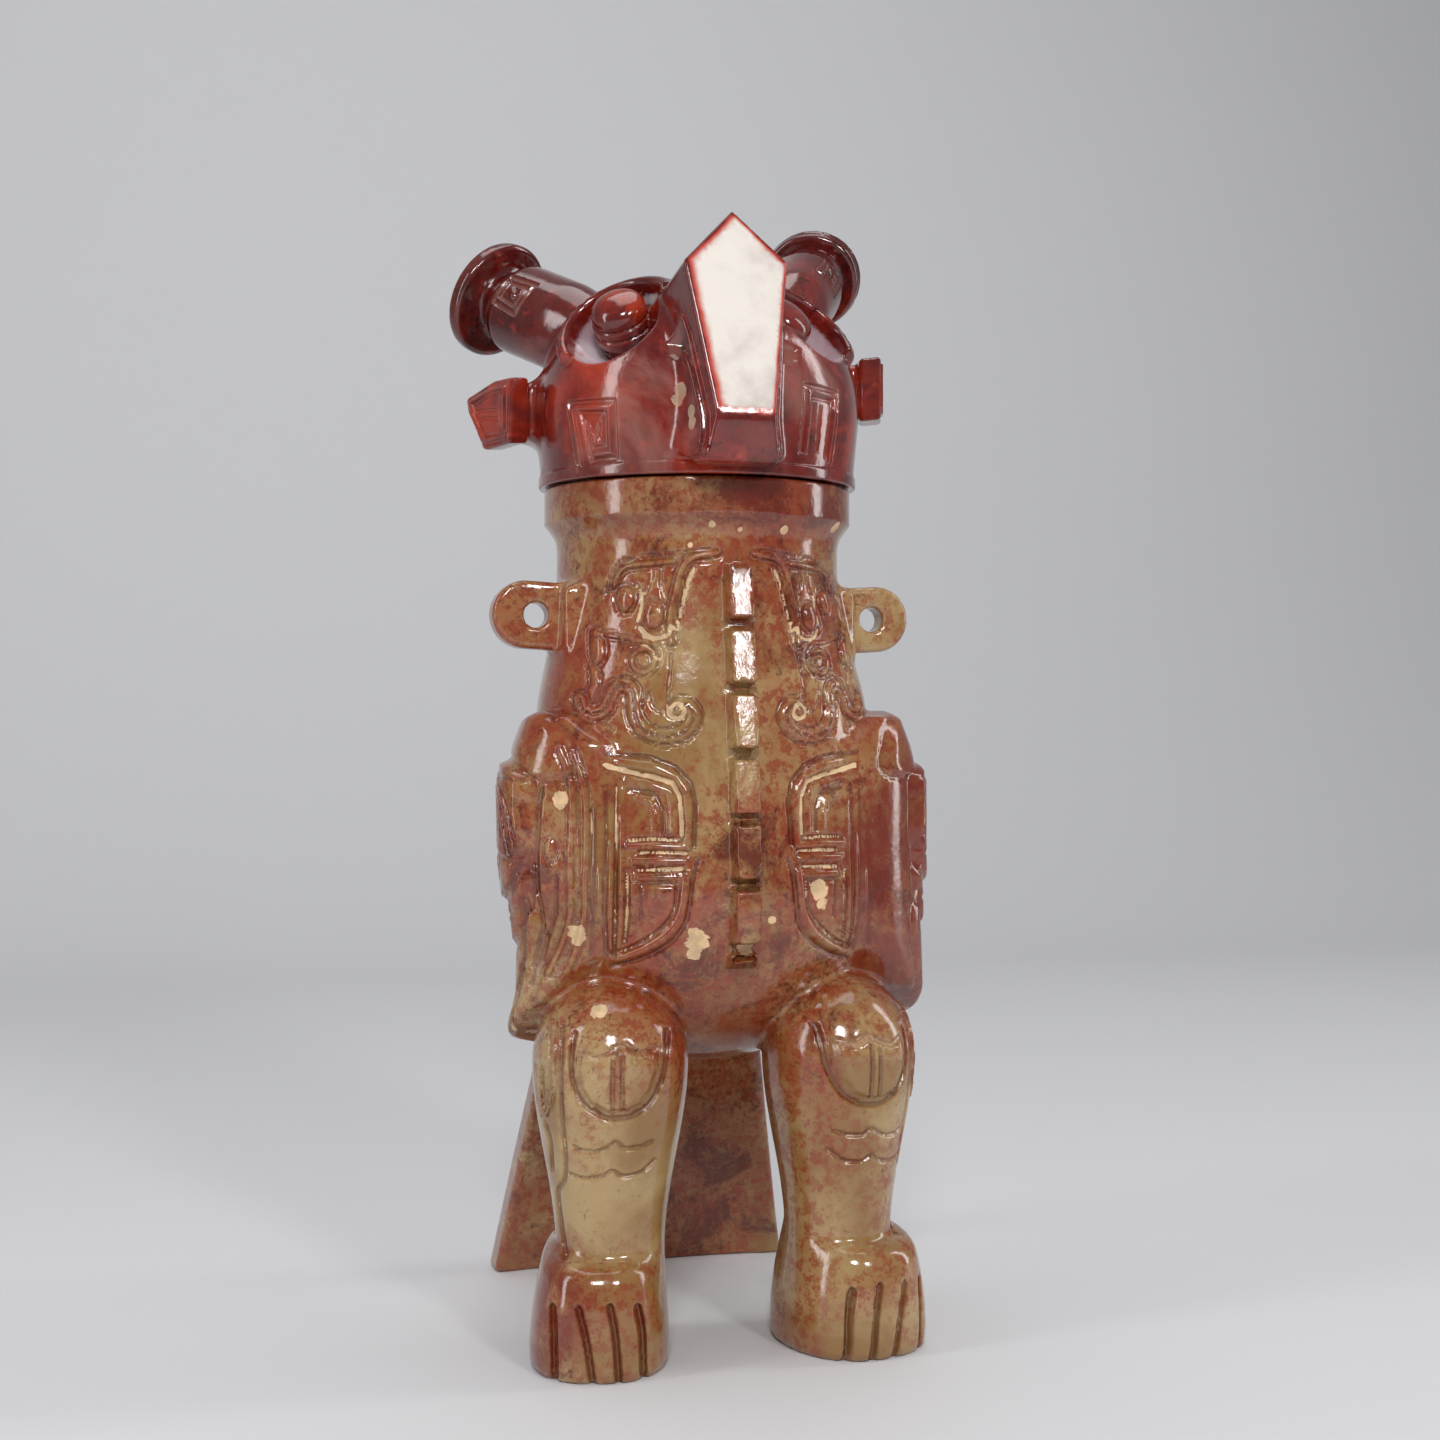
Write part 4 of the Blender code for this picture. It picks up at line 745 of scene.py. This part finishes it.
    # ears and horns stand on a mirrored, slightly tilted frame
    m = -abs(x - HEAD_SHIFT)
    lift = z - HEAD_SKEW * (x - HEAD_SHIFT)
    ear_m = -abs(x)
    side_way = np.array((-math.sin(EAR_TURN), math.cos(EAR_TURN)))
    face_way = np.array((-math.cos(EAR_TURN), -math.sin(EAR_TURN)))
    dx, dy, dz = ear_m + EAR_OUT, y - EAR_BACK, z - HEAD_SKEW * x - EAR_HEIGHT
    wide_at = dx * side_way[0] + dy * side_way[1]
    thick_at = dx * face_way[0] + dy * face_way[1]
    slab = abs(thick_at + EAR_THICK / 2 - 1.3) - EAR_THICK / 2
    ear_mask = step(0.2, 0.8, thick_at)
    slab = carved(slab, ear_drawing, wide_at, dz, ear_mask, marks, abs(slab) < 1.0)
    plaque = meet(outline_distance(wide_at, dz, EAR_OUTLINE), slab, 0.9)
    reach = np.clip(-thick_at, 0, 16)
    stem = meet(abs(wide_at + 2.6) - 4.3 - 0.05 * reach ** 1.2, abs(dz) - 4.9 - 0.1 * reach, 2.4)
    stem = meet(stem, abs(thick_at + 7) - 7, 0.8)
    field = join(field, stem, 3.2)
    field = join(field, plaque, 1.3)

    axis = (HORN_TIP - HORN_ROOT) * np.array((-1, 1, 1))
    length = np.linalg.norm(axis)
    axis /= length
    right = (x < HEAD_SHIFT)[:, None] * RIGHT_HORN_SHIFT
    at = np.stack((m + HORN_ROOT[0], y - HORN_ROOT[1], lift - HORN_ROOT[2]), 1) - right
    along, offset = along_and_off(at, axis)
    out = lengths(offset)
    forward = np.array((-0.25, -0.95, 0.1))
    forward -= axis * (forward @ axis)
    forward /= np.linalg.norm(forward)
    around = np.arctan2(offset @ np.cross(axis, forward), offset @ forward) * BULB_RADIUS
    share = along / length
    stem = HORN_NECK + (BULB_RADIUS - HORN_NECK) * step(0.93, 0.70, share)
    stem = stem - 1.3 * step(0.35, 0.0, share) + 4.8 * step(0.88, 1.03, share) ** 1.4
    stem = out - stem
    stem = carved(stem, horn_drawing, around, along, step(3, 5, out), marks, abs(stem) < 1.2)
    stem = meet(stem * 0.9, abs(along - length / 2 + 3) - length / 2 - 3, 0.8)
    wider = np.where(x < HEAD_SHIFT, RIGHT_DISC_WIDER, LEFT_DISC_WIDER)
    disc = meet(out - DISC_RADIUS - wider,
                abs(along - length + 0.07 * out) - DISC_THICK / 2 + 0.03 * out, 1.3)
    horn = join(stem, disc, 1.8)
    horn = meet(horn, bowl_reach, 0.8)
    field = join(field, horn, 1.2)

    # band at the rim, and the plug
    band = meet(radius - BAND_RADIUS, abs(z - rim - BAND_TALL / 2) - BAND_TALL / 2, 0.5)
    field = join(field, band, 0.35)
    field = meet(field, rim - z, 0.12)
    plug = meet(radius - PLUG_RADIUS, SEAM - PLUG_LENGTH - z, 1.2)
    plug = meet(plug, z - rim - 2, 0.2)
    return join(field, plug, 0.4)


def gradient(field, p, reach=0.04):
    """Value and slope of a field at points."""
    value = field(p)
    slope = np.empty(p.shape)
    for k in range(3):
        moved = p.copy()
        moved[:, k] += reach
        ahead = field(moved)
        moved[:, k] -= 2 * reach
        slope[:, k] = (ahead - field(moved)) / (2 * reach)
    return value, slope


def settle(field, p, rounds=4, most=0.7):
    """Move points onto the field's surface, and give the way out of the stone at each."""
    for turn in range(rounds):
        value, slope = gradient(field, p)
        power = np.maximum((slope ** 2).sum(1), 0.05)
        move = -(value / power)[:, None] * slope
        p = p + move * np.minimum(1, most / np.maximum(lengths(move), 1e-9))[:, None]
        most *= 0.75
    slope = gradient(field, p)[1]
    return p, slope / np.maximum(lengths(slope), 1e-9)[:, None]


def lattice_mesh(field, low, high, cell):
    """Surface nets: one point in each crossed cell of a lattice, and a square at each crossing."""
    axes = [np.arange(a, b + cell, cell) for a, b in zip(low, high)]
    shape = [len(axis) for axis in axes]
    values = np.empty(shape)
    plane = np.stack(np.meshgrid(axes[0], axes[1], indexing="ij"), -1).reshape(-1, 2)
    for k, height in enumerate(axes[2]):
        p = np.column_stack((plane, np.full(len(plane), height)))
        values[:, :, k] = field(p).reshape(shape[:2])
    inside = values < 0
    total = np.zeros([n - 1 for n in shape] + [3])
    count = np.zeros([n - 1 for n in shape])

    def pick(array, corner):
        return array[tuple(slice(c, n - 1 + c) for c, n in zip(corner, shape))]

    grid = np.stack(np.meshgrid(*[axis[:-1] for axis in axes], indexing="ij"), -1)
    for k in range(3):
        others = [j for j in range(3) if j != k]
        for a in (0, 1):
            for b in (0, 1):
                first = [0, 0, 0]
                first[others[0]], first[others[1]] = a, b
                second = list(first)
                second[k] = 1
                v0, v1 = pick(values, first), pick(values, second)
                crossed = pick(inside, first) != pick(inside, second)
                with np.errstate(divide="ignore", invalid="ignore"):
                    share = np.where(crossed, v0 / (v0 - v1), 0.0)
                for j in range(3):
                    place = share * cell if j == k else first[j] * cell
                    total[..., j] += np.where(crossed, grid[..., j] + place, 0.0)
                count += crossed
    active = count > 0
    index = np.full(active.shape, -1)
    index[active] = np.arange(active.sum())
    points = total[active] / count[active][:, None]
    squares = []
    for k in range(3):
        a, b = [j for j in range(3) if j != k]
        inner = [slice(1, n - 1) for n in shape]
        inner[k] = slice(0, shape[k] - 1)
        here = inside[tuple(inner)]
        ahead = list(inner)
        ahead[k] = slice(1, shape[k])
        other = inside[tuple(ahead)]
        at = np.argwhere(here != other)
        enters = other[tuple(at.T)]
        base = at.copy()
        base[:, a] += 1
        base[:, b] += 1
        ring = []
        for da, db in ((1, 1), (0, 1), (0, 0), (1, 0)):
            cell_at = base.copy()
            cell_at[:, a] -= da
            cell_at[:, b] -= db
            ring.append(index[tuple(cell_at.T)])
        ring = np.stack(ring, 1)
        flip = enters if k != 1 else ~enters
        ring[flip] = ring[flip][:, ::-1]
        squares.append(ring)
    squares = np.vstack(squares)
    diagonal = (((points[squares[:, 0]] - points[squares[:, 2]]) ** 2).sum(1)
                < ((points[squares[:, 1]] - points[squares[:, 3]]) ** 2).sum(1))
    one, two = squares[diagonal], squares[~diagonal]
    return points, np.vstack((one[:, (0, 1, 2)], one[:, (0, 2, 3)],
                              two[:, (0, 1, 3)], two[:, (1, 2, 3)]))


def refine(field, points, normals, triangles, wanted):
    """Split the edges that are longer than wanted, keeping the mesh closed."""
    edges = np.sort(np.vstack([triangles[:, pair] for pair in ((0, 1), (1, 2), (2, 0))]), 1)
    keys, place = np.unique(edges[:, 0] * len(points) + edges[:, 1], return_inverse=True)
    ends = np.stack((keys // len(points), keys % len(points)), 1)
    of_triangle = place.reshape(3, -1).T
    length = lengths(points[ends[:, 0]] - points[ends[:, 1]])
    bend = 1 - (normals[ends[:, 0]] * normals[ends[:, 1]]).sum(1)
    split = wanted((points[ends[:, 0]] + points[ends[:, 1]]) / 2, length, bend)
    longest = of_triangle[np.arange(len(triangles)), length[of_triangle].argmax(1)]
    for turn in range(8):
        touched = split[of_triangle].any(1)
        before = split.sum()
        split[longest[touched]] = True
        if split.sum() == before:
            break
    fresh = np.full(len(ends), -1)
    fresh[split] = len(points) + np.arange(split.sum())
    middles = (points[ends[split, 0]] + points[ends[split, 1]]) / 2
    middles, middle_normals = settle(field, middles, rounds=3, most=0.4)
    points = np.vstack((points, middles))
    normals = np.vstack((normals, middle_normals))
    cut = fresh[of_triangle]
    made = [triangles[(cut < 0).all(1)]]
    count = (cut >= 0).sum(1)
    for turn in range(3):
        a, b, c = (triangles[:, (turn + k) % 3] for k in range(3))
        ab, bc, ca = (cut[:, (turn + k) % 3] for k in range(3))
        only = (count == 1) & (ab >= 0)
        made += [np.stack(v, 1)[only] for v in ((a, ab, c), (ab, b, c))]
        two = (count == 2) & (ab >= 0) & (bc >= 0)
        made.append(np.stack((ab, b, bc), 1)[two])
        near = ((points[a] - points[bc]) ** 2).sum(1) < ((points[ab] - points[c]) ** 2).sum(1)
        made += [np.stack(v, 1)[two & near] for v in ((a, ab, bc), (a, bc, c))]
        made += [np.stack(v, 1)[two & ~near] for v in ((a, ab, c), (ab, bc, c))]
    full = count == 3
    a, b, c = triangles[full].T
    ab, bc, ca = cut[full].T
    made += [np.stack(v, 1) for v in ((a, ab, ca), (ab, b, bc), (ca, bc, c), (ab, bc, ca))]
    return points, normals, np.vstack(made)


def carve(name, field, low, high, cell):
    """One closed stone: a lattice mesh, settled on the field and split where carving asks."""
    points, triangles = lattice_mesh(field, low, high, cell)
    points, normals = settle(field, points, rounds=6, most=1.0)
    for number in range(PASSES):

        def wanted(middle, length, bend):
            marks = Marks(len(middle))
            field(middle, marks)
            beyond = np.clip(marks.near - LINE_HALF, 0, None)
            goal = np.clip(FINEST + GROWTH * beyond, 0, cell)
            curved = np.sqrt(BEND / np.maximum(bend / length ** 2, 1e-6))
            goal = np.minimum(goal, np.clip(curved, BEND_FINEST, None))
            behind = (middle[:, 1] > BACK_FROM) & (middle[:, 2] < BACK_BELOW)
            ratio = length / goal / np.where(behind, BACK_COARSER, 1.0)
            allowed = int((MOST_TRIANGLES - len(triangles)) / TRIANGLES_A_SPLIT)
            if (ratio > 1).sum() > allowed > 0:
                return ratio > max(1.0, np.partition(ratio, -allowed)[-allowed])
            return ratio > 1

        if len(triangles) < MOST_TRIANGLES * 0.97:
            points, normals, triangles = refine(field, points, normals, triangles, wanted)
        print(name, "pass", number, len(points), len(triangles))
    marks = Marks(len(points))
    field(points, marks)
    mesh = bpy.data.meshes.new(name)
    mesh.vertices.add(len(points))
    mesh.vertices.foreach_set("co", ((points + AXIS) * MM).astype(np.float32).ravel())
    mesh.loops.add(triangles.size)
    mesh.loops.foreach_set("vertex_index", triangles.astype(np.int32).ravel())
    mesh.polygons.add(len(triangles))
    mesh.polygons.foreach_set("loop_start", np.arange(0, triangles.size, 3, dtype=np.int32))
    mesh.update(calc_edges=True)
    mesh.polygons.foreach_set("use_smooth", np.ones(len(triangles), bool))
    mesh.normals_split_custom_set_from_vertices(normals.tolist())
    # the last two layers mark painted reflections of a softbox: on the beak's flat face and in the
    # eyes' bowls
    for word, values in (("cut", marks.cut), ("clay", marks.clay), ("beak_reflection", marks.beak_reflection),
                         ("haze_and_bowl_reflection", marks.haze_and_bowl_reflection)):
        layer = mesh.attributes.new(word, "FLOAT", "POINT")
        layer.data.foreach_set("value", values.astype(np.float32))
    item = bpy.data.objects.new(name, mesh)
    bpy.context.scene.collection.objects.link(item)
    return item


class Nodes:
    """Short ways to make the nodes of a stone's material."""

    def __init__(self, name):
        self.material = bpy.data.materials.new(name)
        self.material.use_nodes = True
        self.tree = self.material.node_tree
        self.shader = self.tree.nodes["Principled BSDF"]
        self.place = self.put("ShaderNodeTexCoord").outputs["Object"]

    def put(self, kind, inputs=(), **settings):
        """Add a node with its settings and inputs."""
        node = self.tree.nodes.new(kind)
        for key, value in settings.items():
            setattr(node, key, value)
        for key, value in inputs:
            self.give(node.inputs[key], value)
        return node

    def give(self, socket, value):
        """Link a socket to another one, or set its value."""
        if isinstance(value, bpy.types.NodeSocket):
            self.tree.links.new(value, socket)
        else:
            socket.default_value = value

    def noise(self, scale, detail, rough, warp=0.0):
        return self.put("ShaderNodeTexNoise", (("Vector", self.place), ("Scale", scale),
            ("Detail", detail), ("Roughness", rough), ("Distortion", warp))).outputs["Fac"]

    def ramp(self, value, low, high):
        """0 at low, 1 at high, and a smooth rise between."""
        return self.put("ShaderNodeMapRange", (("Value", value), ("From Min", low),
            ("From Max", high)), interpolation_type="SMOOTHSTEP").outputs["Result"]

    def math(self, kind, first, second):
        return self.put("ShaderNodeMath", ((0, first), (1, second)), operation=kind).outputs[0]

    def plus(self, first, second):
        return self.math("ADD", first, second)

    def less(self, first, second):
        return self.math("SUBTRACT", first, second)

    def times(self, first, second):
        return self.math("MULTIPLY", first, second)

    def most(self, first, *others):
        """The largest of several values."""
        for other in others:
            first = self.math("MAXIMUM", first, other)
        return first

    def near(self, x, y, z, reach, soft=0.5):
        """1 close to a place given in millimetres, fading out at the reach."""
        gap = self.put("ShaderNodeVectorMath", ((0, self.place), (1, (x * MM, y * MM, z * MM))),
                       operation="DISTANCE").outputs["Value"]
        return self.ramp(gap, reach * MM, reach * soft * MM)

    def spots(self, *places):
        """1 close to any of several places."""
        return self.most(*[self.near(*place) for place in places])

    def mix(self, share, first, second):
        return self.put("ShaderNodeMix", ((0, share), (6, first), (7, second)),
                        data_type="RGBA").outputs[2]

    def tint(self, colour, other, where, share):
        """A colour turned by a share towards another one, where the mask is 1."""
        return self.mix(self.times(where, share), colour, other)

    def attribute(self, name):
        return self.put("ShaderNodeAttribute", attribute_name=name).outputs["Fac"]


def srgb(*levels):
    """A colour given in 0 to 255 levels as it looks on a screen."""
    line = [v / 255 for v in levels]
    return tuple(v / 12.92 if v <= 0.04045 else ((v + 0.055) / 1.055) ** 2.4 for v in line) + (1.0,)


def jade(name, base, pale, warm, stain, deep, rust, groove, dust, clay_share, stains, flakes):
    """Polished jade: mottled, speckled with rust, stained, with dark grooves and dried clay."""
    n = Nodes(name)
    shift = n.times(stains(n), 0.075)
    colour = n.mix(n.ramp(n.noise(42, 5.0, 0.55, 0.5), 0.38, 0.62), base, pale)

    # stains, and their speckles
    haze_and_bowl_reflection = n.plus(n.noise(30, 7.0, 0.62, 0.8), shift)
    colour = n.tint(colour, warm, n.ramp(haze_and_bowl_reflection, 0.40, 0.66), 0.75)
    veins = n.plus(n.noise(105, 14.0, 0.8, 0.5), shift)
    colour = n.tint(colour, stain, n.ramp(veins, 0.49, 0.66), rust)
    grain = n.ramp(n.noise(460, 6.0, 0.75), 0.48, 0.56)
    colour = n.tint(colour, stain, n.times(grain, n.ramp(haze_and_bowl_reflection, 0.36, 0.54)), rust)
    depths = n.plus(n.noise(90, 10.0, 0.75, 0.6), shift)
    colour = n.tint(colour, deep, n.ramp(depths, 0.56, 0.68), 0.75)
    dots = n.ramp(n.noise(900, 4.0, 0.65), 0.56, 0.64)
    colour = n.tint(colour, deep, n.times(dots, n.ramp(depths, 0.44, 0.58)), 0.7)

    # grooves, darkest where they are deepest
    cut = n.attribute("cut")
    colour = n.tint(colour, groove, n.ramp(cut, 0.04, 0.45), 0.5)
    colour = n.tint(colour, deep, n.ramp(cut, 1.1, 1.6), 0.9)

    # dried clay: in the grooves, patchily, and in flakes
    left = n.attribute("clay")
    clay = n.plus(n.times(n.times(left, clay_share), 0.75),
                  n.times(n.noise(130, 5.0, 0.65, 0.6), 0.9))
    clay = n.times(n.ramp(clay, 0.84, 0.90), n.ramp(left, 0.02, 0.1))
    frayed = n.times(n.noise(330, 5.0, 0.65, 1.0), 1.5)
    for x, y, z, reach in flakes:
        patch = n.plus(n.near(x, y, z, reach * 1.5, 0.1), frayed)
        clay = n.most(clay, n.ramp(patch, 1.26, 1.30))
    shaded = tuple(0.72 * level for level in dust[:3]) + (1.0,)
    tone = n.mix(n.ramp(n.noise(300, 3.0, 0.5), 0.4, 0.6), dust, shaded)
    return n, n.mix(clay, colour, tone), clay


def polish(n, colour, clay):
    """Give a stone its shine, its depth and the faint waviness of hand polishing."""
    n.give(n.shader.inputs["Base Color"], colour)
    rough = n.plus(n.times(n.noise(160, 4.0, 0.6), 0.12), 0.07)
    n.give(n.shader.inputs["Roughness"],
           n.put("ShaderNodeMix", ((0, clay), (2, rough), (3, 0.8)), data_type="FLOAT").outputs[0])
    for key, value in (("Subsurface Weight", 0.12), ("Subsurface Scale", 0.003),
                       ("Subsurface Radius", (1.0, 0.4, 0.2)), ("IOR", 1.6),
                       ("Coat Weight", 0.25), ("Coat Roughness", 0.06)):
        n.shader.inputs[key].default_value = value
    wave = n.times(n.noise(55, 2.0, 0.5), 2.2)
    pores = n.plus(n.noise(420, 4.0, 0.6), n.times(clay, 1.2))
    bump = n.put("ShaderNodeBump", (("Strength", 0.35), ("Distance", 0.0002),
        ("Height", n.plus(wave, pores))))
    n.give(n.shader.inputs["Normal"], bump.outputs["Normal"])
    return n.material


def body_stains(n):
    """How stained the body is: most on wings, collar, shoulders, belly, tail and right foot."""
    red = n.spots((-40, -20, 8, 26), (-42, -12, 92, 24), (44, -16, 90, 34), (8, -36, 158, 30),
                  (0, -40, 80, 30), (2, -34, 60, 26), (38, -24, 56, 22), (-28, -28, 126, 20),
                  (34, -30, 34, 16), (0, 45, 20, 40), (20, -30, 136, 16))
    pale = n.spots((-20, -40, 34, 30), (22, -40, 36, 24), (-8, -38, 118, 20), (22, -42, 10, 18))
    return n.less(red, pale)


def head_stains(n):
    """How stained the head is: darkest on the horns, palest on the cheek and under the beak."""
    dark = n.spots((-34, 18, 203, 22), (36, 18, 206, 22))
    return n.less(dark, n.spots((-26, -26, 176, 14), (-14, -40, 166, 7)))


def mottled_jade():
    """The body's khaki stone with rust speckles, redder on left wing, right foot and collar."""
    flakes = ((-7, -38, 77.3, 2.6), (-7.4, -38, 74.5, 1.8), (-27.4, -30.7, 78, 2.2),
              (1.9, -38.5, 76.1, 2.2), (16.5, -37.5, 85.7, 2.4), (17, -37, 83, 1.5),
              (6.8, -39, 80.6, 1.0), (-30.3, -29.7, 102.3, 2.0), (-24.5, -36.9, 65.2, 2.0),
              (-3.3, -34.9, 152.2, 0.9), (2, -34.8, 151.3, 0.6), (10.9, -33.3, 151.6, 1.0),
              (-6.9, -33.1, 148.5, 0.7), (23.5, -25.6, 153, 1.4))
    n, colour, clay = jade(
        "mottled_jade_looks", srgb(142, 106, 60), srgb(176, 148, 102), srgb(148, 82, 44),
        srgb(138, 50, 26), srgb(84, 24, 14), 0.72,
        srgb(84, 24, 14), srgb(228, 192, 148), 1.0, body_stains, flakes)
    worn = n.ramp(n.noise(70, 8.0, 0.7, 0.6), 0.34, 0.56)
    red = n.spots((44, -22, 86, 34, 0.55), (42, -16, 66, 20), (-37, -30, 12, 19))
    height = n.put("ShaderNodeSeparateXYZ", ((0, n.place),)).outputs[2]
    red = n.most(red, n.times(n.ramp(height, 0.1505, 0.1545), 0.5))
    red = n.times(n.times(red, worn), n.less(1.0, clay))
    return polish(n, n.tint(colour, srgb(112, 34, 20), red, 0.8), clay)


def red_jade():
    """The head's deep red, with orange and grey veils, and a painted reflection of a softbox on the
    beak's flat face.
    """
    n, colour, clay = jade(
        "red_jade_looks", srgb(104, 18, 12), srgb(130, 28, 15), srgb(82, 14, 11), srgb(62, 10, 9),
        srgb(40, 8, 8), 0.4, srgb(150, 92, 78), srgb(186, 156, 126), 0.15, head_stains,
        ((-9.6, -37.3, 175.6, 1.8), (-9.9, -36.6, 174.2, 1.6), (-8.6, -40.3, 171.6, 1.3),
         (-8.5, -40.5, 169.6, 1.3)))

    # orange glow and grey fog
    glow = n.spots((-25, -25, 176, 15), (-34, 2, 178, 14), (36, 2, 182, 14), (22, -26, 172, 11),
                   (-16, -24, 195, 7), (-4, -38, 164, 9))
    glow = n.times(glow, n.ramp(n.noise(90, 7.0, 0.65, 0.6), 0.36, 0.60))
    colour = n.tint(colour, srgb(168, 50, 20), glow, 0.85)
    fog = n.most(n.spots((-13, -36, 173, 17), (-26, -27, 160, 12), (14, -33, 180, 12)), 0.18)
    veil = n.ramp(n.noise(44, 6.0, 0.62, 1.2), 0.42, 0.68)
    colour = n.tint(colour, srgb(150, 100, 90), n.times(veil, fog), 0.75)

    # painted reflection of a softbox, pale lilac, on the floors of the eyes' bowls
    reflection_patches = n.ramp(n.noise(120, 6.0, 0.7, 0.3), 0.30, 0.46)
    lilac = n.mix(n.ramp(n.noise(60, 3.0, 0.5, 0.4), 0.4, 0.6), srgb(222, 208, 214),
                  srgb(184, 158, 166))
    colour = n.tint(colour, lilac, n.times(n.attribute("haze_and_bowl_reflection"), reflection_patches), 0.85)

    # painted reflection of a softbox on the beak's flat face, mottled where the stone shows
    # through, with a ragged red edge
    ragged = n.times(n.less(n.noise(260, 4.0, 0.6), 0.5), 0.5)
    ragged = n.plus(n.attribute("beak_reflection"), ragged)
    pale = n.mix(n.ramp(n.noise(70, 5.0, 0.6, 0.1), 0.42, 0.72), srgb(234, 226, 217),
                 srgb(202, 190, 182))
    edge = n.mix(n.ramp(ragged, 0.2, 0.95), srgb(190, 70, 56), pale)
    return polish(n, n.mix(n.ramp(ragged, 0.02, 0.22), colour, edge), clay)


vessel = carve("carved_vessel", vessel_field, (-48, -44, -3), (48, 60, 165), VESSEL_CELL)
vessel.data.materials.append(mottled_jade())
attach(vessel, "vessel")
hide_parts("vessel_body")
lid = carve("carved_head", lid_field, (-54, -46, 150), (54, 48, 226), HEAD_CELL)
lid.data.materials.append(red_jade())
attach(lid, "lid")
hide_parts("head_lid")


def make_room():
    """A pale floor that curves up into a backdrop."""
    paper = bpy.data.materials.new("room_paper")
    paper.use_nodes = True
    shader = paper.node_tree.nodes["Principled BSDF"]
    shader.inputs["Base Color"].default_value = srgb(222, 222, 224)
    shader.inputs["Roughness"].default_value = 0.6
    front, depth, bend, tall, half = -2.4, 0.55, 0.35, 2.2, 2.4
    profile = [(front, 0.0), (depth, 0.0)]
    for number in range(1, 17):
        angle = math.pi / 2 * number / 16
        profile.append((depth + bend * math.sin(angle), bend * (1 - math.cos(angle))))
    profile.append((depth + bend, tall))
    verts = [(x, y, z) for y, z in profile for x in (-half, half)]
    faces = [(2 * k, 2 * k + 1, 2 * k + 3, 2 * k + 2) for k in range(len(profile) - 1)]
    mesh = bpy.data.meshes.new("room")
    mesh.from_pydata(verts, [], faces)
    mesh.polygons.foreach_set("use_smooth", [True] * len(faces))
    mesh.materials.append(paper)
    room = bpy.data.objects.new("room", mesh)
    bpy.context.scene.collection.objects.link(room)


def lamp(name, place, aim, size, power, colour=(1.0, 1.0, 1.0)):
    """A soft rectangular lamp that looks at a place."""
    data = bpy.data.lights.new(name, "AREA")
    data.shape = "RECTANGLE"
    data.size, data.size_y = size
    data.energy = power
    data.color = colour
    item = bpy.data.objects.new(name, data)
    bpy.context.scene.collection.objects.link(item)
    item.location = place
    item.rotation_euler = (Vector(aim) - Vector(place)).to_track_quat("-Z", "Y").to_euler()


make_room()
lamp("key_softbox", (-0.22, -0.80, 0.60), (0, 0, 0.12), (0.16, 0.20), 3.6)
lamp("second_softbox", (0.20, -0.85, 0.50), (0, 0, 0.12), (0.12, 0.16), 2.0)
lamp("left_strip", (-0.90, -0.20, 0.40), (0, 0, 0.11), (0.14, 0.9), 2.2)
lamp("right_strip", (0.90, -0.10, 0.45), (0, 0, 0.11), (0.14, 0.9), 2.0)
lamp("top_panel", (0.0, 0.10, 1.10), (0, 0, 0.1), (0.7, 0.7), 3.0)

world = bpy.data.worlds.new("studio")
bpy.context.scene.world = world
world.use_nodes = True
sky = world.node_tree.nodes["Background"].inputs
sky["Color"].default_value = SKY_COLOUR
sky["Strength"].default_value = SKY_STRENGTH

bpy.context.scene.view_settings.view_transform = "Standard"

camera_data = bpy.data.cameras.new("camera")
camera_data.sensor_width = SENSOR
camera_data.lens = LENS
camera_data.clip_start = 0.01
camera = bpy.data.objects.new("camera", camera_data)
bpy.context.scene.collection.objects.link(camera)
right_way = np.array((COS_TURN, -SIN_TURN, 0.0))
view_way = np.array((SIN_TURN, COS_TURN, 0.0))
camera.location = (AXIS + right_way * CAMERA_ASIDE - view_way * CAMERA_FAR
                   + np.array((0, 0, CAMERA_HEIGHT))) * MM
camera.rotation_euler = (math.radians(90), 0.0, -CAMERA_TURN)
bpy.context.scene.camera = camera
